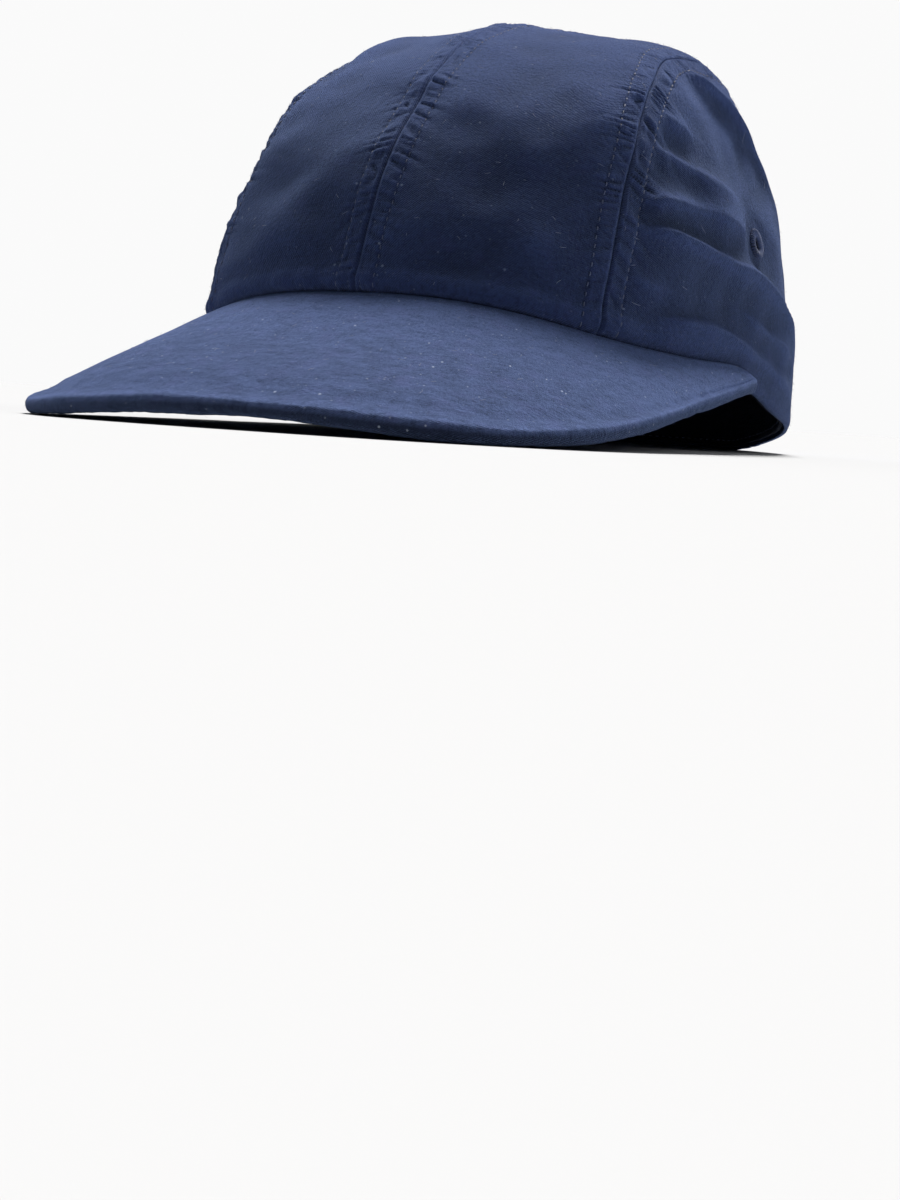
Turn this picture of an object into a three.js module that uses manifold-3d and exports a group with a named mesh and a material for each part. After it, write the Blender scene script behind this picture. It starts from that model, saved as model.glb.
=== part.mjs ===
// A soft four-panel cotton cap: two centre panels run from the peak over the top to the back,
// a side panel on each side fills the space below them, and a flat, firm peak is sewn on in front.
// Millimetres, +Z up, the peak towards -Y, the cap's left side at +X.
// The cap is shaped in its own frame, where the peak is level, then pitched forward until the edge
// of the peak and the back of the rim lie on the plane z = 0.

import * as THREE from "three";
import { mergeVertices } from "three/addons/utils/BufferGeometryUtils.js";
import Module from "manifold-3d";

// Crown, a dome whose level sections are rounded rectangles
const CROWN_HALF_WIDTH = 84;
const CROWN_FRONT = 112; // from the dome's middle to its front, at the widest level
const CROWN_BACK = 95;
const CROWN_MIDDLE_Y = 2.5;
const WIDEST_Z = -10.6;
const CROWN_RISE = 115; // from the widest level to the top
const CROWN_TUCK = 85; // how far below the widest level the dome would close again
const SECTION_POWER = 2.32; // 2 is an ellipse
const SIDE_ROUND = 0.64; // how slowly each profile draws in: 1 is an ellipse, less is boxier
const FRONT_ROUND = 0.98;
const BACK_ROUND = 0.46;
const WALL = 1.8;
const SEAM_GAP = 0.3;
const BAND_GAP = 0.5;

// Side seams: how far each one lies from the middle, by the angle from the front over the top
const SEAM_AXIS_Y = -5;
const SEAM_AXIS_Z = 10;
const SEAM_FRONT_CORNER = THREE.MathUtils.degToRad(76);
const SEAM_BACK_CORNER = THREE.MathUtils.degToRad(128);
const SIDE_SEAM = [
  { angle: -20, offset: 59.5 },
  { angle: 25, offset: 60.5 },
  { angle: 50, offset: 58.5 },
  { angle: 75, offset: 54 },
  { angle: 95, offset: 50 },
  { angle: 125, offset: 53 },
  { angle: 155, offset: 57 },
  { angle: 220, offset: 56 },
];

// Rim: its height above the surface that the cap rests on, from the front to the back
const REST_PITCH = THREE.MathUtils.degToRad(9);
const RIM = [
  { y: -104, lift: 33.4 },
  { y: -79, lift: 25 },
  { y: -54, lift: 21.4 },
  { y: -28, lift: 20.4 },
  { y: -10, lift: 18 },
  { y: 10, lift: 12.7 },
  { y: 43, lift: 8 },
  { y: 66, lift: 4 },
  { y: 82, lift: 0 },
];

// Peak: its plan is a short straight side, then a superellipse across the front
const PEAK_THICKNESS = 4.6;
const PEAK_FRONT_Y = -175;
const PEAK_HALF_WIDTH = 88;
const PEAK_WIDEST_Y = -83;
const PEAK_END_X = 88.6;
const PEAK_END_Y = -23;
const PEAK_POWER = 2.9;
const PEAK_ARCH = 9.2; // how far the middle of its front edge stands above its ends
const PEAK_CROWNING = 0.4;
const PEAK_REACH = 70; // from its root to its front, at the middle
const ROOT_CLEARANCE = 0.15; // on top of the gap, because both faces are made of flats
const PEAK_ROOT_END = 9; // plan angle, back from the side, at which its root starts and ends
const PEAK_HEM = 7; // how far the top cover turns in below the edge
const WIDEST_HEM = 0.45; // the most of the peak's width that the hem takes at its narrow ends
const COVER_SHARE = 0.56; // the top cover's part of the thickness
const PEAK_STATIONS = 45;
const PEAK_ROWS = 6;
const EDGE_STEPS = 5;

// Sweatband
const BAND_HEIGHT = 27;
const BAND_WALL = 1.3;
const BAND_RISE = 1.2; // its lower edge above the rim
const BAND_STATIONS = 72;
const BAND_ROWS = 2;

// Sewn eyelets, one in each side panel
const EYELET_X = 78;
const EYELET_Y = 1.5;
const EYELET_Z = 40.5;
const EYELET_RADIUS = 3.4; // to the middle of its thread ring
const EYELET_THREAD = 1.15;
const EYELET_FLATNESS = 0.6;
const EYELET_HOLE = 1.6;
const EYELET_FLAT = 6.8; // radius round it that the folds leave flat
const EYELET_CLEAR = 17; // radius past which the folds have their full height

// Soft folds of the side panels, as arcs seen from the side
const FOLDS = [
  { fromY: -60, fromZ: 50, toY: 24, toZ: 16, bow: 4.5, width: 7, height: 2.4 },
  { fromY: -52, fromZ: 57, toY: -4, toZ: 42, bow: 2.5, width: 5, height: 1.8 },
  { fromY: -42, fromZ: 68, toY: -5, toZ: 56, bow: 1.5, width: 6, height: 1.6 },
  { fromY: -68, fromZ: 38, toY: 16, toZ: 4, bow: -1, width: 6.5, height: 1.6 },
];
const RIGHT_FOLD_SHARE = 0.6;
// Towards the top, the cloth stands proud along the side seams and dips beside the middle seam
const SEAM_RIDGE = 1.8;
const RIDGE_SPREAD = 0.4; // the share of a side panel, down from its seam, that rises with it
const TOP_HOLLOW = 3;
const SHAPED_FROM_Z = 56;
const SHAPED_FULL_Z = 92;

const FOLD_MARGIN = 0.12; // the share of a side panel next to its edges where folds die away
const FOLD_TAPER = 0.7; // how blunt a fold's ends are: 1 is a sine
const SEWN_MARGIN = 0.07; // the share above the rim that the peak and the band hold flat

// How finely each sheet is divided
const CENTRE_GRID = { along: 34, across: 8 };
const SIDE_GRID = { along: 26, across: 15 };
const OUTLINE_STEPS = { side: 12, front: 40 };
const RING_STEPS = { round: 16, section: 6 };
const PUNCH_SIDES = 12;
const PUNCH_LENGTH = 15;

// Searches along a line for the dome's surface
const FARTHEST = 180;
const HALVINGS = 46;
const RIM_STEPS = 30;
const STRIP_LIMIT = THREE.MathUtils.degToRad(130); // from the top, past the rim on either side
const NORMAL_STEP = 0.4;

const cloth = (color, roughness) => new THREE.MeshStandardMaterial({ color, roughness, metalness: 0 });
const navyCloth = () => cloth(0x27335c, 0.95);
const navyThread = () => cloth(0x222d52, 0.8);
const bandCloth = () => cloth(0x0c0f1c, 0.95);

const { clamp, lerp, smoothstep } = THREE.MathUtils;

// A value read from a table of rows, by a smooth curve through them
function tableValue(table, key, column, at) {
  const last = table.length - 1;
  if (at <= table[0][key]) return table[0][column];
  if (at >= table[last][key]) return table[last][column];
  const i = table.findIndex((row) => row[key] > at) - 1;
  const slope = (k) => {
    const low = table[Math.max(k - 1, 0)];
    const high = table[Math.min(k + 1, last)];
    return (high[column] - low[column]) / (high[key] - low[key]);
  };
  const span = table[i + 1][key] - table[i][key];
  const u = (at - table[i][key]) / span;
  const start = (1 + 2 * u) * (1 - u) ** 2;
  const end = u * u * (3 - 2 * u);
  const leave = u * (1 - u) ** 2 * span * slope(i);
  const arrive = u * u * (u - 1) * span * slope(i + 1);
  return start * table[i][column] + end * table[i + 1][column] + leave + arrive;
}

// The largest value in 0 to limit where inside(value) still holds
function reach(inside, limit) {
  let low = 0;
  let high = limit;
  for (let step = 0; step < HALVINGS; step++) {
    const middle = (low + high) / 2;
    if (inside(middle)) low = middle;
    else high = middle;
  }
  return (low + high) / 2;
}

// Half extents of the dome's level section at height z
function section(z) {
  const sine = (z - WIDEST_Z) / (z > WIDEST_Z ? CROWN_RISE : CROWN_TUCK);
  const cosine = Math.sqrt(Math.max(1 - sine * sine, 0));
  return {
    side: CROWN_HALF_WIDTH * cosine ** SIDE_ROUND,
    front: CROWN_FRONT * cosine ** FRONT_ROUND,
    back: CROWN_BACK * cosine ** BACK_ROUND,
  };
}

// Negative inside the dome, positive outside
function domeField(x, y, z) {
  const { side, front, back } = section(z);
  if (side < 1e-6) return 1;
  const depth = y < CROWN_MIDDLE_Y ? front : back;
  return (
    (Math.abs(x) / side) ** SECTION_POWER + (Math.abs(y - CROWN_MIDDLE_Y) / depth) ** SECTION_POWER - 1
  );
}

function domeNormal(p) {
  const h = NORMAL_STEP;
  return new THREE.Vector3(
    domeField(p.x + h, p.y, p.z) - domeField(p.x - h, p.y, p.z),
    domeField(p.x, p.y + h, p.z) - domeField(p.x, p.y - h, p.z),
    domeField(p.x, p.y, p.z + h) - domeField(p.x, p.y, p.z - h),
  ).normalize();
}

// The point of the dome at a plan angle (0 at +X, -90 degrees at the front) and a height
function domeAt(plan, z) {
  const { side, front, back } = section(z);
  const c = Math.cos(plan);
  const s = Math.sin(plan);
  const depth = s < 0 ? front : back;
  return new THREE.Vector3(
    side * Math.sign(c) * Math.abs(c) ** (2 / SECTION_POWER),
    CROWN_MIDDLE_Y + depth * Math.sign(s) * Math.abs(s) ** (2 / SECTION_POWER),
    z,
  );
}

// The peak's outline, inset by half its thickness, from the left end (0) to the right end (1)
const INSET = PEAK_THICKNESS / 2;
function peakOutline() {
  const half = [];
  for (let i = 0; i < OUTLINE_STEPS.side; i++) {
    const u = i / OUTLINE_STEPS.side;
    const bulge = (PEAK_END_X - PEAK_HALF_WIDTH) * (1 - u) ** 2;
    half.push(new THREE.Vector2(PEAK_HALF_WIDTH + bulge - INSET, lerp(PEAK_END_Y, PEAK_WIDEST_Y, u)));
  }
  for (let i = 0; i <= OUTLINE_STEPS.front; i++) {
    const turn = ((Math.PI / 2) * i) / OUTLINE_STEPS.front;
    half.push(
      new THREE.Vector2(
        (PEAK_HALF_WIDTH - INSET) * Math.cos(turn) ** (2 / PEAK_POWER),
        PEAK_WIDEST_Y - (PEAK_WIDEST_Y - PEAK_FRONT_Y - INSET) * Math.sin(turn) ** (2 / PEAK_POWER),
      ),
    );
  }
  const mirrored = half.slice(0, -1).reverse();
  return half.concat(mirrored.map((p) => new THREE.Vector2(-p.x, p.y)));
}

// A point at an even fraction of the length of a polyline
function pointAlong(points, fraction) {
  const lengths = [0];
  for (let i = 1; i < points.length; i++) {
    lengths.push(lengths[i - 1] + points[i].distanceTo(points[i - 1]));
  }
  const goal = clamp(fraction, 0, 1) * lengths[lengths.length - 1];
  const i = Math.max(1, lengths.findIndex((length) => length >= goal));
  const u = (goal - lengths[i - 1]) / (lengths[i] - lengths[i - 1]);
  return points[i - 1].clone().lerp(points[i], u);
}

function peakEdgeAt(outline, fraction) {
  const p = pointAlong(outline, fraction);
  const forward = clamp((PEAK_WIDEST_Y - p.y) / (PEAK_WIDEST_Y - PEAK_FRONT_Y), 0, 1);
  const z = PEAK_ARCH * (1 - (p.x / PEAK_HALF_WIDTH) ** 2) * forward + INSET;
  return new THREE.Vector3(p.x, p.y, z);
}

// The plane that the cap rests on, in the cap's own frame: z = restZ(y)
const OUTLINE = peakOutline();
const SLOPE = Math.tan(REST_PITCH);
const EDGE_SAMPLES = 200;
let restOffset = Infinity;
for (let i = 0; i <= EDGE_SAMPLES; i++) {
  const edge = peakEdgeAt(OUTLINE, i / EDGE_SAMPLES);
  restOffset = Math.min(restOffset, edge.z + SLOPE * edge.y - INSET / Math.cos(REST_PITCH));
}
const restZ = (y) => restOffset - SLOPE * y;
const restNormal = new THREE.Vector3(0, Math.sin(REST_PITCH), Math.cos(REST_PITCH));

const rimZ = (y) => restZ(y) + tableValue(RIM, "y", "lift", y);

// The dome's point at a plan angle whose height above the rim is rise
function aboveRim(plan, rise) {
  let p = domeAt(plan, 0);
  for (let step = 0; step < RIM_STEPS; step++) p = domeAt(plan, rimZ(p.y) + rise);
  return p;
}

const seamOffset = (angle) => tableValue(SIDE_SEAM, "angle", "offset", THREE.MathUtils.radToDeg(angle));

// The dome's point at a distance x from the middle plane, at an angle over the top from the front
function overTop(x, angle) {
  const at = (radius) =>
    new THREE.Vector3(x, SEAM_AXIS_Y - radius * Math.cos(angle), SEAM_AXIS_Z + radius * Math.sin(angle));
  const inside = (radius) => {
    const p = at(radius);
    return domeField(p.x, p.y, p.z) < 0;
  };
  return at(reach(inside, FARTHEST));
}

// The angles at which the strip at a share of the way to the side seam meets the rim
function stripEnds(across, inset) {
  const xAt = (angle) => across * (seamOffset(angle) + inset);
  const limit = (side) => {
    const above = (turn) => {
      const angle = Math.PI / 2 + side * turn;
      const p = overTop(xAt(angle), angle);
      return p.z > rimZ(p.y);
    };
    return Math.PI / 2 + side * reach(above, STRIP_LIMIT);
  };
  return { front: limit(-1), back: limit(1), xAt };
}

// Relief on the smooth dome, outwards
function foldHeight(p) {
  let height = 0;
  for (const fold of FOLDS) {
    const dy = fold.toY - fold.fromY;
    const dz = fold.toZ - fold.fromZ;
    const length = Math.hypot(dy, dz);
    const along = ((p.y - fold.fromY) * dy + (p.z - fold.fromZ) * dz) / (length * length);
    if (along < 0 || along > 1) continue;
    const bowed = fold.bow * 4 * along * (1 - along);
    const off = ((p.z - fold.fromZ) * dy - (p.y - fold.fromY) * dz) / length - bowed;
    height += fold.height * Math.exp(-((off / fold.width) ** 2)) * Math.sin(Math.PI * along) ** FOLD_TAPER;
  }
  const fromEyelet = Math.hypot(p.y - EYELET_Y, p.z - EYELET_Z);
  const clear = smoothstep(fromEyelet, EYELET_FLAT, EYELET_CLEAR);
  return height * clear * (p.x > 0 ? 1 : RIGHT_FOLD_SHARE);
}

function topRelief(p, across) {
  const high = smoothstep(p.z, SHAPED_FROM_Z, SHAPED_FULL_Z);
  return high * (SEAM_RIDGE * across ** 3 - TOP_HOLLOW * Math.sin(Math.PI * across) ** 2);
}

function shoulderRelief(p, down) {
  const high = smoothstep(p.z, SHAPED_FROM_Z, SHAPED_FULL_Z);
  return high * SEAM_RIDGE * (1 - smoothstep(down, 0, RIDGE_SPREAD));
}

// An outer and an inner point of the wall; on the rim both lie in the same plane
function wallPair(p, relief, onRim) {
  const outwards = domeNormal(p);
  if (onRim) outwards.projectOnPlane(restNormal).normalize();
  return {
    outer: p.clone().addScaledVector(outwards, relief),
    inner: p.clone().addScaledVector(outwards, relief - WALL),
  };
}

// Closed geometries from triangles; the winding is turned round if it faces inwards
function closedGeometry(points, triangles) {
  let volume = 0;
  const cross = new THREE.Vector3();
  for (const [a, b, c] of triangles) {
    volume += points[a].dot(cross.crossVectors(points[b], points[c]));
  }
  const facing = volume < 0 ? triangles.map(([a, b, c]) => [a, c, b]) : triangles;
  const geometry = new THREE.BufferGeometry();
  geometry.setAttribute("position", new THREE.Float32BufferAttribute(points.flatMap((p) => p.toArray()), 3));
  geometry.setIndex(facing.flat());
  return geometry;
}

// A sheet between two grids of points, grid[row][column], closed round its four sides
function sheetGeometry(outer, inner) {
  const rows = outer.length;
  const columns = outer[0].length;
  const points = [...outer.flat(), ...inner.flat()];
  const at = (row, column, side) => side * rows * columns + row * columns + column;
  const triangles = [];
  const quad = (a, b, c, d) => triangles.push([a, b, c], [a, c, d]);
  for (let r = 0; r + 1 < rows; r++) {
    for (let c = 0; c + 1 < columns; c++) {
      quad(at(r, c, 0), at(r, c + 1, 0), at(r + 1, c + 1, 0), at(r + 1, c, 0));
      quad(at(r, c, 1), at(r + 1, c, 1), at(r + 1, c + 1, 1), at(r, c + 1, 1));
    }
    quad(at(r, 0, 0), at(r + 1, 0, 0), at(r + 1, 0, 1), at(r, 0, 1));
    quad(at(r, columns - 1, 0), at(r, columns - 1, 1), at(r + 1, columns - 1, 1), at(r + 1, columns - 1, 0));
  }
  for (let c = 0; c + 1 < columns; c++) {
    quad(at(0, c, 0), at(0, c, 1), at(0, c + 1, 1), at(0, c + 1, 0));
    quad(at(rows - 1, c, 0), at(rows - 1, c + 1, 0), at(rows - 1, c + 1, 1), at(rows - 1, c, 1));
  }
  return closedGeometry(points, triangles);
}

// A skin through closed section loops; it either closes on itself or is capped by flatLoop's triangles
function loftGeometry(loops, closesOnItself, flatLoop) {
  const size = loops[0].length;
  const points = loops.flat();
  const triangles = [];
  const spans = closesOnItself ? loops.length : loops.length - 1;
  for (let i = 0; i < spans; i++) {
    const next = (i + 1) % loops.length;
    for (let k = 0; k < size; k++) {
      const a = i * size + k;
      const b = i * size + ((k + 1) % size);
      const c = next * size + ((k + 1) % size);
      const d = next * size + k;
      triangles.push([a, b, c], [a, c, d]);
    }
  }
  if (!closesOnItself) {
    const lastLoop = (loops.length - 1) * size;
    const counterClockwise = !THREE.ShapeUtils.isClockWise(flatLoop);
    for (const [a, b, c] of THREE.ShapeUtils.triangulateShape(flatLoop, [])) {
      const forward = [a, b, c];
      const backward = [a, c, b];
      triangles.push(counterClockwise ? backward : forward);
      triangles.push((counterClockwise ? forward : backward).map((k) => k + lastLoop));
    }
  }
  return closedGeometry(points, triangles);
}

// Centre panel on one side: 1 is left, -1 is right
function centrePanel(side) {
  const { along, across } = CENTRE_GRID;
  const outer = [];
  const inner = [];
  for (let j = 0; j <= across; j++) {
    const share = j / across;
    const { front, back, xAt } = stripEnds(share, -SEAM_GAP / 2);
    const outerRow = [];
    const innerRow = [];
    for (let i = 0; i <= along; i++) {
      const angle = lerp(front, back, i / along);
      const p = overTop(Math.max(xAt(angle), SEAM_GAP / 2), angle);
      const pair = wallPair(p, topRelief(p, share), i === 0 || i === along);
      for (const [row, point] of [
        [outerRow, pair.outer],
        [innerRow, pair.inner],
      ]) {
        if (j === 0) point.x = SEAM_GAP / 2;
        point.x *= side;
        row.push(point);
      }
    }
    outer.push(outerRow);
    inner.push(innerRow);
  }
  return sheetGeometry(outer, inner);
}

const DOME_CENTRE = new THREE.Vector3(0, 0, 0);

// A point of the dome on the line from its centre through p
function ontoDome(p) {
  const ray = p.clone().sub(DOME_CENTRE).normalize();
  const at = (radius) => DOME_CENTRE.clone().addScaledVector(ray, radius);
  const inside = (radius) => {
    const q = at(radius);
    return domeField(q.x, q.y, q.z) < 0;
  };
  return at(reach(inside, FARTHEST));
}

const planAngle = (p) => {
  const depth = p.y < CROWN_MIDDLE_Y ? section(p.z).front : section(p.z).back;
  const power = SECTION_POWER / 2;
  const s = Math.sign(p.y - CROWN_MIDDLE_Y) * (Math.abs(p.y - CROWN_MIDDLE_Y) / depth) ** power;
  const c = (p.x / section(p.z).side) ** power;
  return Math.atan2(s, c);
};

// Side panel: a patch between the front of the seam, its top, its back and the rim
function sidePanel(side) {
  const { along, across } = SIDE_GRID;
  const { front, back, xAt } = stripEnds(1, SEAM_GAP / 2);
  const seamPoint = (angle) => overTop(xAt(angle), angle);
  const frontPlan = planAngle(seamPoint(front));
  const backPlan = planAngle(seamPoint(back));
  const top = (u) => seamPoint(lerp(SEAM_FRONT_CORNER, SEAM_BACK_CORNER, u));
  const rim = (u) => aboveRim(lerp(frontPlan, backPlan, u), 0);
  const fore = (v) => seamPoint(lerp(SEAM_FRONT_CORNER, front, v));
  const aft = (v) => seamPoint(lerp(SEAM_BACK_CORNER, back, v));
  const corners = { foreTop: fore(0), foreLow: rim(0), aftTop: aft(0), aftLow: rim(1) };
  const patchPoint = (u, v) => {
    const p = new THREE.Vector3();
    p.addScaledVector(top(u), 1 - v).addScaledVector(rim(u), v);
    p.addScaledVector(fore(v), 1 - u).addScaledVector(aft(v), u);
    p.addScaledVector(corners.foreTop, -(1 - u) * (1 - v)).addScaledVector(corners.foreLow, -(1 - u) * v);
    p.addScaledVector(corners.aftTop, -u * (1 - v)).addScaledVector(corners.aftLow, -u * v);
    return v === 1 ? p : ontoDome(p);
  };
  const outer = [];
  const inner = [];
  for (let i = 0; i <= along; i++) {
    const u = i / along;
    const outerRow = [];
    const innerRow = [];
    for (let j = 0; j <= across; j++) {
      const v = j / across;
      const p = patchPoint(u, v);
      const fromRim = smoothstep(1 - v, SEWN_MARGIN, SEWN_MARGIN + FOLD_MARGIN);
      const fade = [u, 1 - u, v].reduce((product, d) => product * smoothstep(d, 0, FOLD_MARGIN), fromRim);
      const folds = fade * foldHeight(new THREE.Vector3(p.x * side, p.y, p.z));
      const relief = folds + shoulderRelief(p, v * Math.min(1, u / RIDGE_SPREAD, (1 - u) / RIDGE_SPREAD));
      const pair = wallPair(p, relief, j === across);
      pair.outer.x *= side;
      pair.inner.x *= side;
      outerRow.push(pair.outer);
      innerRow.push(pair.inner);
    }
    outer.push(outerRow);
    inner.push(innerRow);
  }
  return sheetGeometry(outer, inner);
}

// A point moved out, where it must, to keep the peak's gap to the crown's wall
function clearOfWall(p) {
  const wall = ontoDome(p);
  const seat = wall.clone().addScaledVector(domeNormal(wall), SEAM_GAP + ROOT_CLEARANCE);
  return p.distanceTo(DOME_CENTRE) < seat.distanceTo(DOME_CENTRE) ? seat : p;
}

// One station of the peak: its root point, its edge point, and the direction of its upper face
function peakStation(fraction) {
  const edge = peakEdgeAt(OUTLINE, fraction);
  const rootPlan = lerp(-PEAK_ROOT_END, -180 + PEAK_ROOT_END, fraction);
  const plan = THREE.MathUtils.degToRad(rootPlan);
  const wall = aboveRim(plan, INSET);
  const wallUp = aboveRim(plan, PEAK_THICKNESS).sub(aboveRim(plan, 0));
  const root = wall.clone().addScaledVector(domeNormal(wall), SEAM_GAP + ROOT_CLEARANCE);
  const across = edge.clone().sub(root);
  const step = 1e-3;
  const ahead = peakEdgeAt(OUTLINE, Math.min(fraction + step, 1));
  const behind = peakEdgeAt(OUTLINE, Math.max(fraction - step, 0));
  const alongEdge = ahead.sub(behind);
  const up = new THREE.Vector3().crossVectors(alongEdge, across).normalize();
  if (up.z < 0) up.negate();
  const out = across.clone().normalize();
  const lean = wallUp.dot(out) / wallUp.dot(up);
  return { root, edge, up, out, lean, width: across.length() };
}

// A point of the peak, at a share of the way from root to edge and a height off its middle surface;
// at the root the section leans as the wall behind it does
function peakPoint(station, share, height) {
  const crowning = PEAK_CROWNING * 4 * share * (1 - share) * Math.min(station.width / PEAK_REACH, 1);
  const p = station.root
    .clone()
    .lerp(station.edge, share)
    .addScaledVector(station.up, height + crowning)
    .addScaledVector(station.out, station.lean * height * (1 - share));
  return clearOfWall(p);
}

const coverDepth = PEAK_THICKNESS * COVER_SHARE;
const hemShareOf = (station) => 1 - Math.min(PEAK_HEM / station.width, WIDEST_HEM);

// Section of the top cover: its upper face, the round edge, the hem below, and its lower face
function coverSection(station) {
  const loop = [];
  const hemShare = hemShareOf(station);
  for (let i = 0; i <= PEAK_ROWS; i++) loop.push(peakPoint(station, i / PEAK_ROWS, INSET));
  for (let i = 1; i < EDGE_STEPS; i++) {
    const turn = Math.PI / 2 - (Math.PI * i) / EDGE_STEPS;
    loop.push(
      peakPoint(station, 1, INSET * Math.sin(turn)).addScaledVector(station.out, INSET * Math.cos(turn)),
    );
  }
  loop.push(peakPoint(station, 1, -INSET));
  loop.push(peakPoint(station, hemShare, -INSET));
  for (let i = PEAK_ROWS; i >= 0; i--) {
    loop.push(peakPoint(station, (hemShare * i) / PEAK_ROWS, INSET - coverDepth));
  }
  return loop;
}

function undersideSection(station) {
  const loop = [];
  const edgeShare = hemShareOf(station) - SEAM_GAP / station.width;
  const rows = PEAK_ROWS - 1;
  for (let i = 0; i <= rows; i++) {
    loop.push(peakPoint(station, (edgeShare * i) / rows, INSET - coverDepth - SEAM_GAP));
  }
  for (let i = rows; i >= 0; i--) loop.push(peakPoint(station, (edgeShare * i) / rows, -INSET));
  return loop;
}

// The peak's sections, swept from its left end to its right end
function peakSheet(sectionOf) {
  const loops = [];
  let flatLoop;
  for (let i = 0; i < PEAK_STATIONS; i++) {
    const station = peakStation(i / (PEAK_STATIONS - 1));
    const loop = sectionOf(station);
    loops.push(loop);
    if (i === 0) {
      flatLoop = loop.map((p) => {
        const away = p.clone().sub(station.root);
        return new THREE.Vector2(away.dot(station.out), away.dot(station.up));
      });
    }
  }
  return loftGeometry(loops, false, flatLoop);
}

function sweatbandGeometry() {
  const loops = [];
  for (let i = 0; i < BAND_STATIONS; i++) {
    const plan = (2 * Math.PI * i) / BAND_STATIONS;
    const faces = [[], []];
    for (let k = 0; k <= BAND_ROWS; k++) {
      const p = aboveRim(plan, BAND_RISE + (BAND_HEIGHT * k) / BAND_ROWS);
      const outwards = domeNormal(p);
      faces[0].push(p.clone().addScaledVector(outwards, -WALL - BAND_GAP));
      faces[1].push(p.clone().addScaledVector(outwards, -WALL - BAND_GAP - BAND_WALL));
    }
    loops.push([...faces[0], ...faces[1].reverse()]);
  }
  return loftGeometry(loops, true);
}

const wasm = await Module();
wasm.setup();

function toSolid(geometry) {
  const bare = geometry.clone();
  for (const name of ["normal", "uv"]) bare.deleteAttribute(name);
  const merged = mergeVertices(bare, 1e-4);
  return new wasm.Manifold(
    new wasm.Mesh({
      numProp: 3,
      vertProperties: merged.attributes.position.array,
      triVerts: new Uint32Array(merged.index.array),
    }),
  );
}

function toGeometry(made) {
  const { vertProperties, triVerts } = made.getMesh();
  const geometry = new THREE.BufferGeometry();
  geometry.setAttribute("position", new THREE.Float32BufferAttribute(vertProperties, 3));
  geometry.setIndex(new THREE.Uint32BufferAttribute(triVerts, 1));
  return geometry;
}

// Where an eyelet sits on a side panel, turned so that its axis stands on the cloth
function eyeletPlace(side, lift) {
  const p = ontoDome(new THREE.Vector3(EYELET_X, EYELET_Y, EYELET_Z));
  const outwards = domeNormal(p);
  p.addScaledVector(outwards, lift);
  p.x *= side;
  outwards.x *= side;
  const turn = new THREE.Quaternion().setFromUnitVectors(new THREE.Vector3(0, 0, 1), outwards);
  return new THREE.Matrix4().compose(p, turn, new THREE.Vector3(1, 1, 1));
}

function piercedSidePanel(side) {
  const punch = new THREE.CylinderGeometry(EYELET_HOLE, EYELET_HOLE, PUNCH_LENGTH, PUNCH_SIDES)
    .rotateX(Math.PI / 2)
    .applyMatrix4(eyeletPlace(side, 0));
  return toGeometry(toSolid(sidePanel(side)).subtract(toSolid(punch)));
}

function eyeletRing(side) {
  const { section: sides, round } = RING_STEPS;
  const ring = new THREE.TorusGeometry(EYELET_RADIUS, EYELET_THREAD, sides, round);
  ring.scale(1, 1, EYELET_FLATNESS);
  return ring.applyMatrix4(eyeletPlace(side, EYELET_THREAD * EYELET_FLATNESS + SEAM_GAP));
}

const cap = new THREE.Group();

function addPiece(name, geometry, material) {
  const mesh = new THREE.Mesh(geometry, material);
  mesh.name = name;
  cap.add(mesh);
}

for (const [word, side] of [
  ["left", 1],
  ["right", -1],
]) {
  addPiece("crown_panel_" + word, centrePanel(side), navyCloth());
  addPiece("side_panel_" + word, piercedSidePanel(side), navyCloth());
  addPiece("eyelet_" + word, eyeletRing(side), navyThread());
}
addPiece("peak_cover", peakSheet(coverSection), navyCloth());
addPiece("peak_underside", peakSheet(undersideSection), navyCloth());
addPiece("sweatband", sweatbandGeometry(), bandCloth());

// The cap pitched onto its resting points, its box centred over the origin
cap.rotation.x = REST_PITCH;
cap.position.z = -restOffset * Math.cos(REST_PITCH);
cap.updateMatrixWorld(true);
const box = new THREE.Box3().setFromObject(cap, true);
cap.position.x -= (box.min.x + box.max.x) / 2;
cap.position.y -= (box.min.y + box.max.y) / 2;

export default cap;
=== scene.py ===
import math

import bpy
import numpy as np
from mathutils import Matrix, Vector


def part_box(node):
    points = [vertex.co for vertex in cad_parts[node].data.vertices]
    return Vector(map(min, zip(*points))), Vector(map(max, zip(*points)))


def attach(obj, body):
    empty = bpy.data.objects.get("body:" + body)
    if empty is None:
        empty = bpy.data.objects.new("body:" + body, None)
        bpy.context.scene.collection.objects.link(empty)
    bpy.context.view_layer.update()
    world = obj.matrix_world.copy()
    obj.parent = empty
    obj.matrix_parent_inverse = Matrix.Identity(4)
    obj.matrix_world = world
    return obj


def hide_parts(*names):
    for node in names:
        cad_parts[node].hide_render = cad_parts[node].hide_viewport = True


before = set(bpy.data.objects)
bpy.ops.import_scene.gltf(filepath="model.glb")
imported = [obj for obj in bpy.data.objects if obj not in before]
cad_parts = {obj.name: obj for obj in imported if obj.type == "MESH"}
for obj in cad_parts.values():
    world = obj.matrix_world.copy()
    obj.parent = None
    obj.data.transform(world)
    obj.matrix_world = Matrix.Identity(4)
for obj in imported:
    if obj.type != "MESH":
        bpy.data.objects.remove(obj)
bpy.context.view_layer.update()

# The cap's own frame is millimetres with the peak level. It rests pitched forward by REST_PITCH.
MM = 0.001
REST_PITCH = math.radians(9)

# Crown, a dome whose level sections are rounded rectangles
CROWN_HALF_WIDTH = 84
CROWN_FRONT = 112
CROWN_BACK = 95
CROWN_MIDDLE_Y = 2.5
WIDEST_Z = -10.6
CROWN_RISE = 115
CROWN_TUCK = 85
SECTION_POWER = 2.32
SIDE_ROUND = 0.64
FRONT_ROUND = 0.98
BACK_ROUND = 0.46
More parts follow.
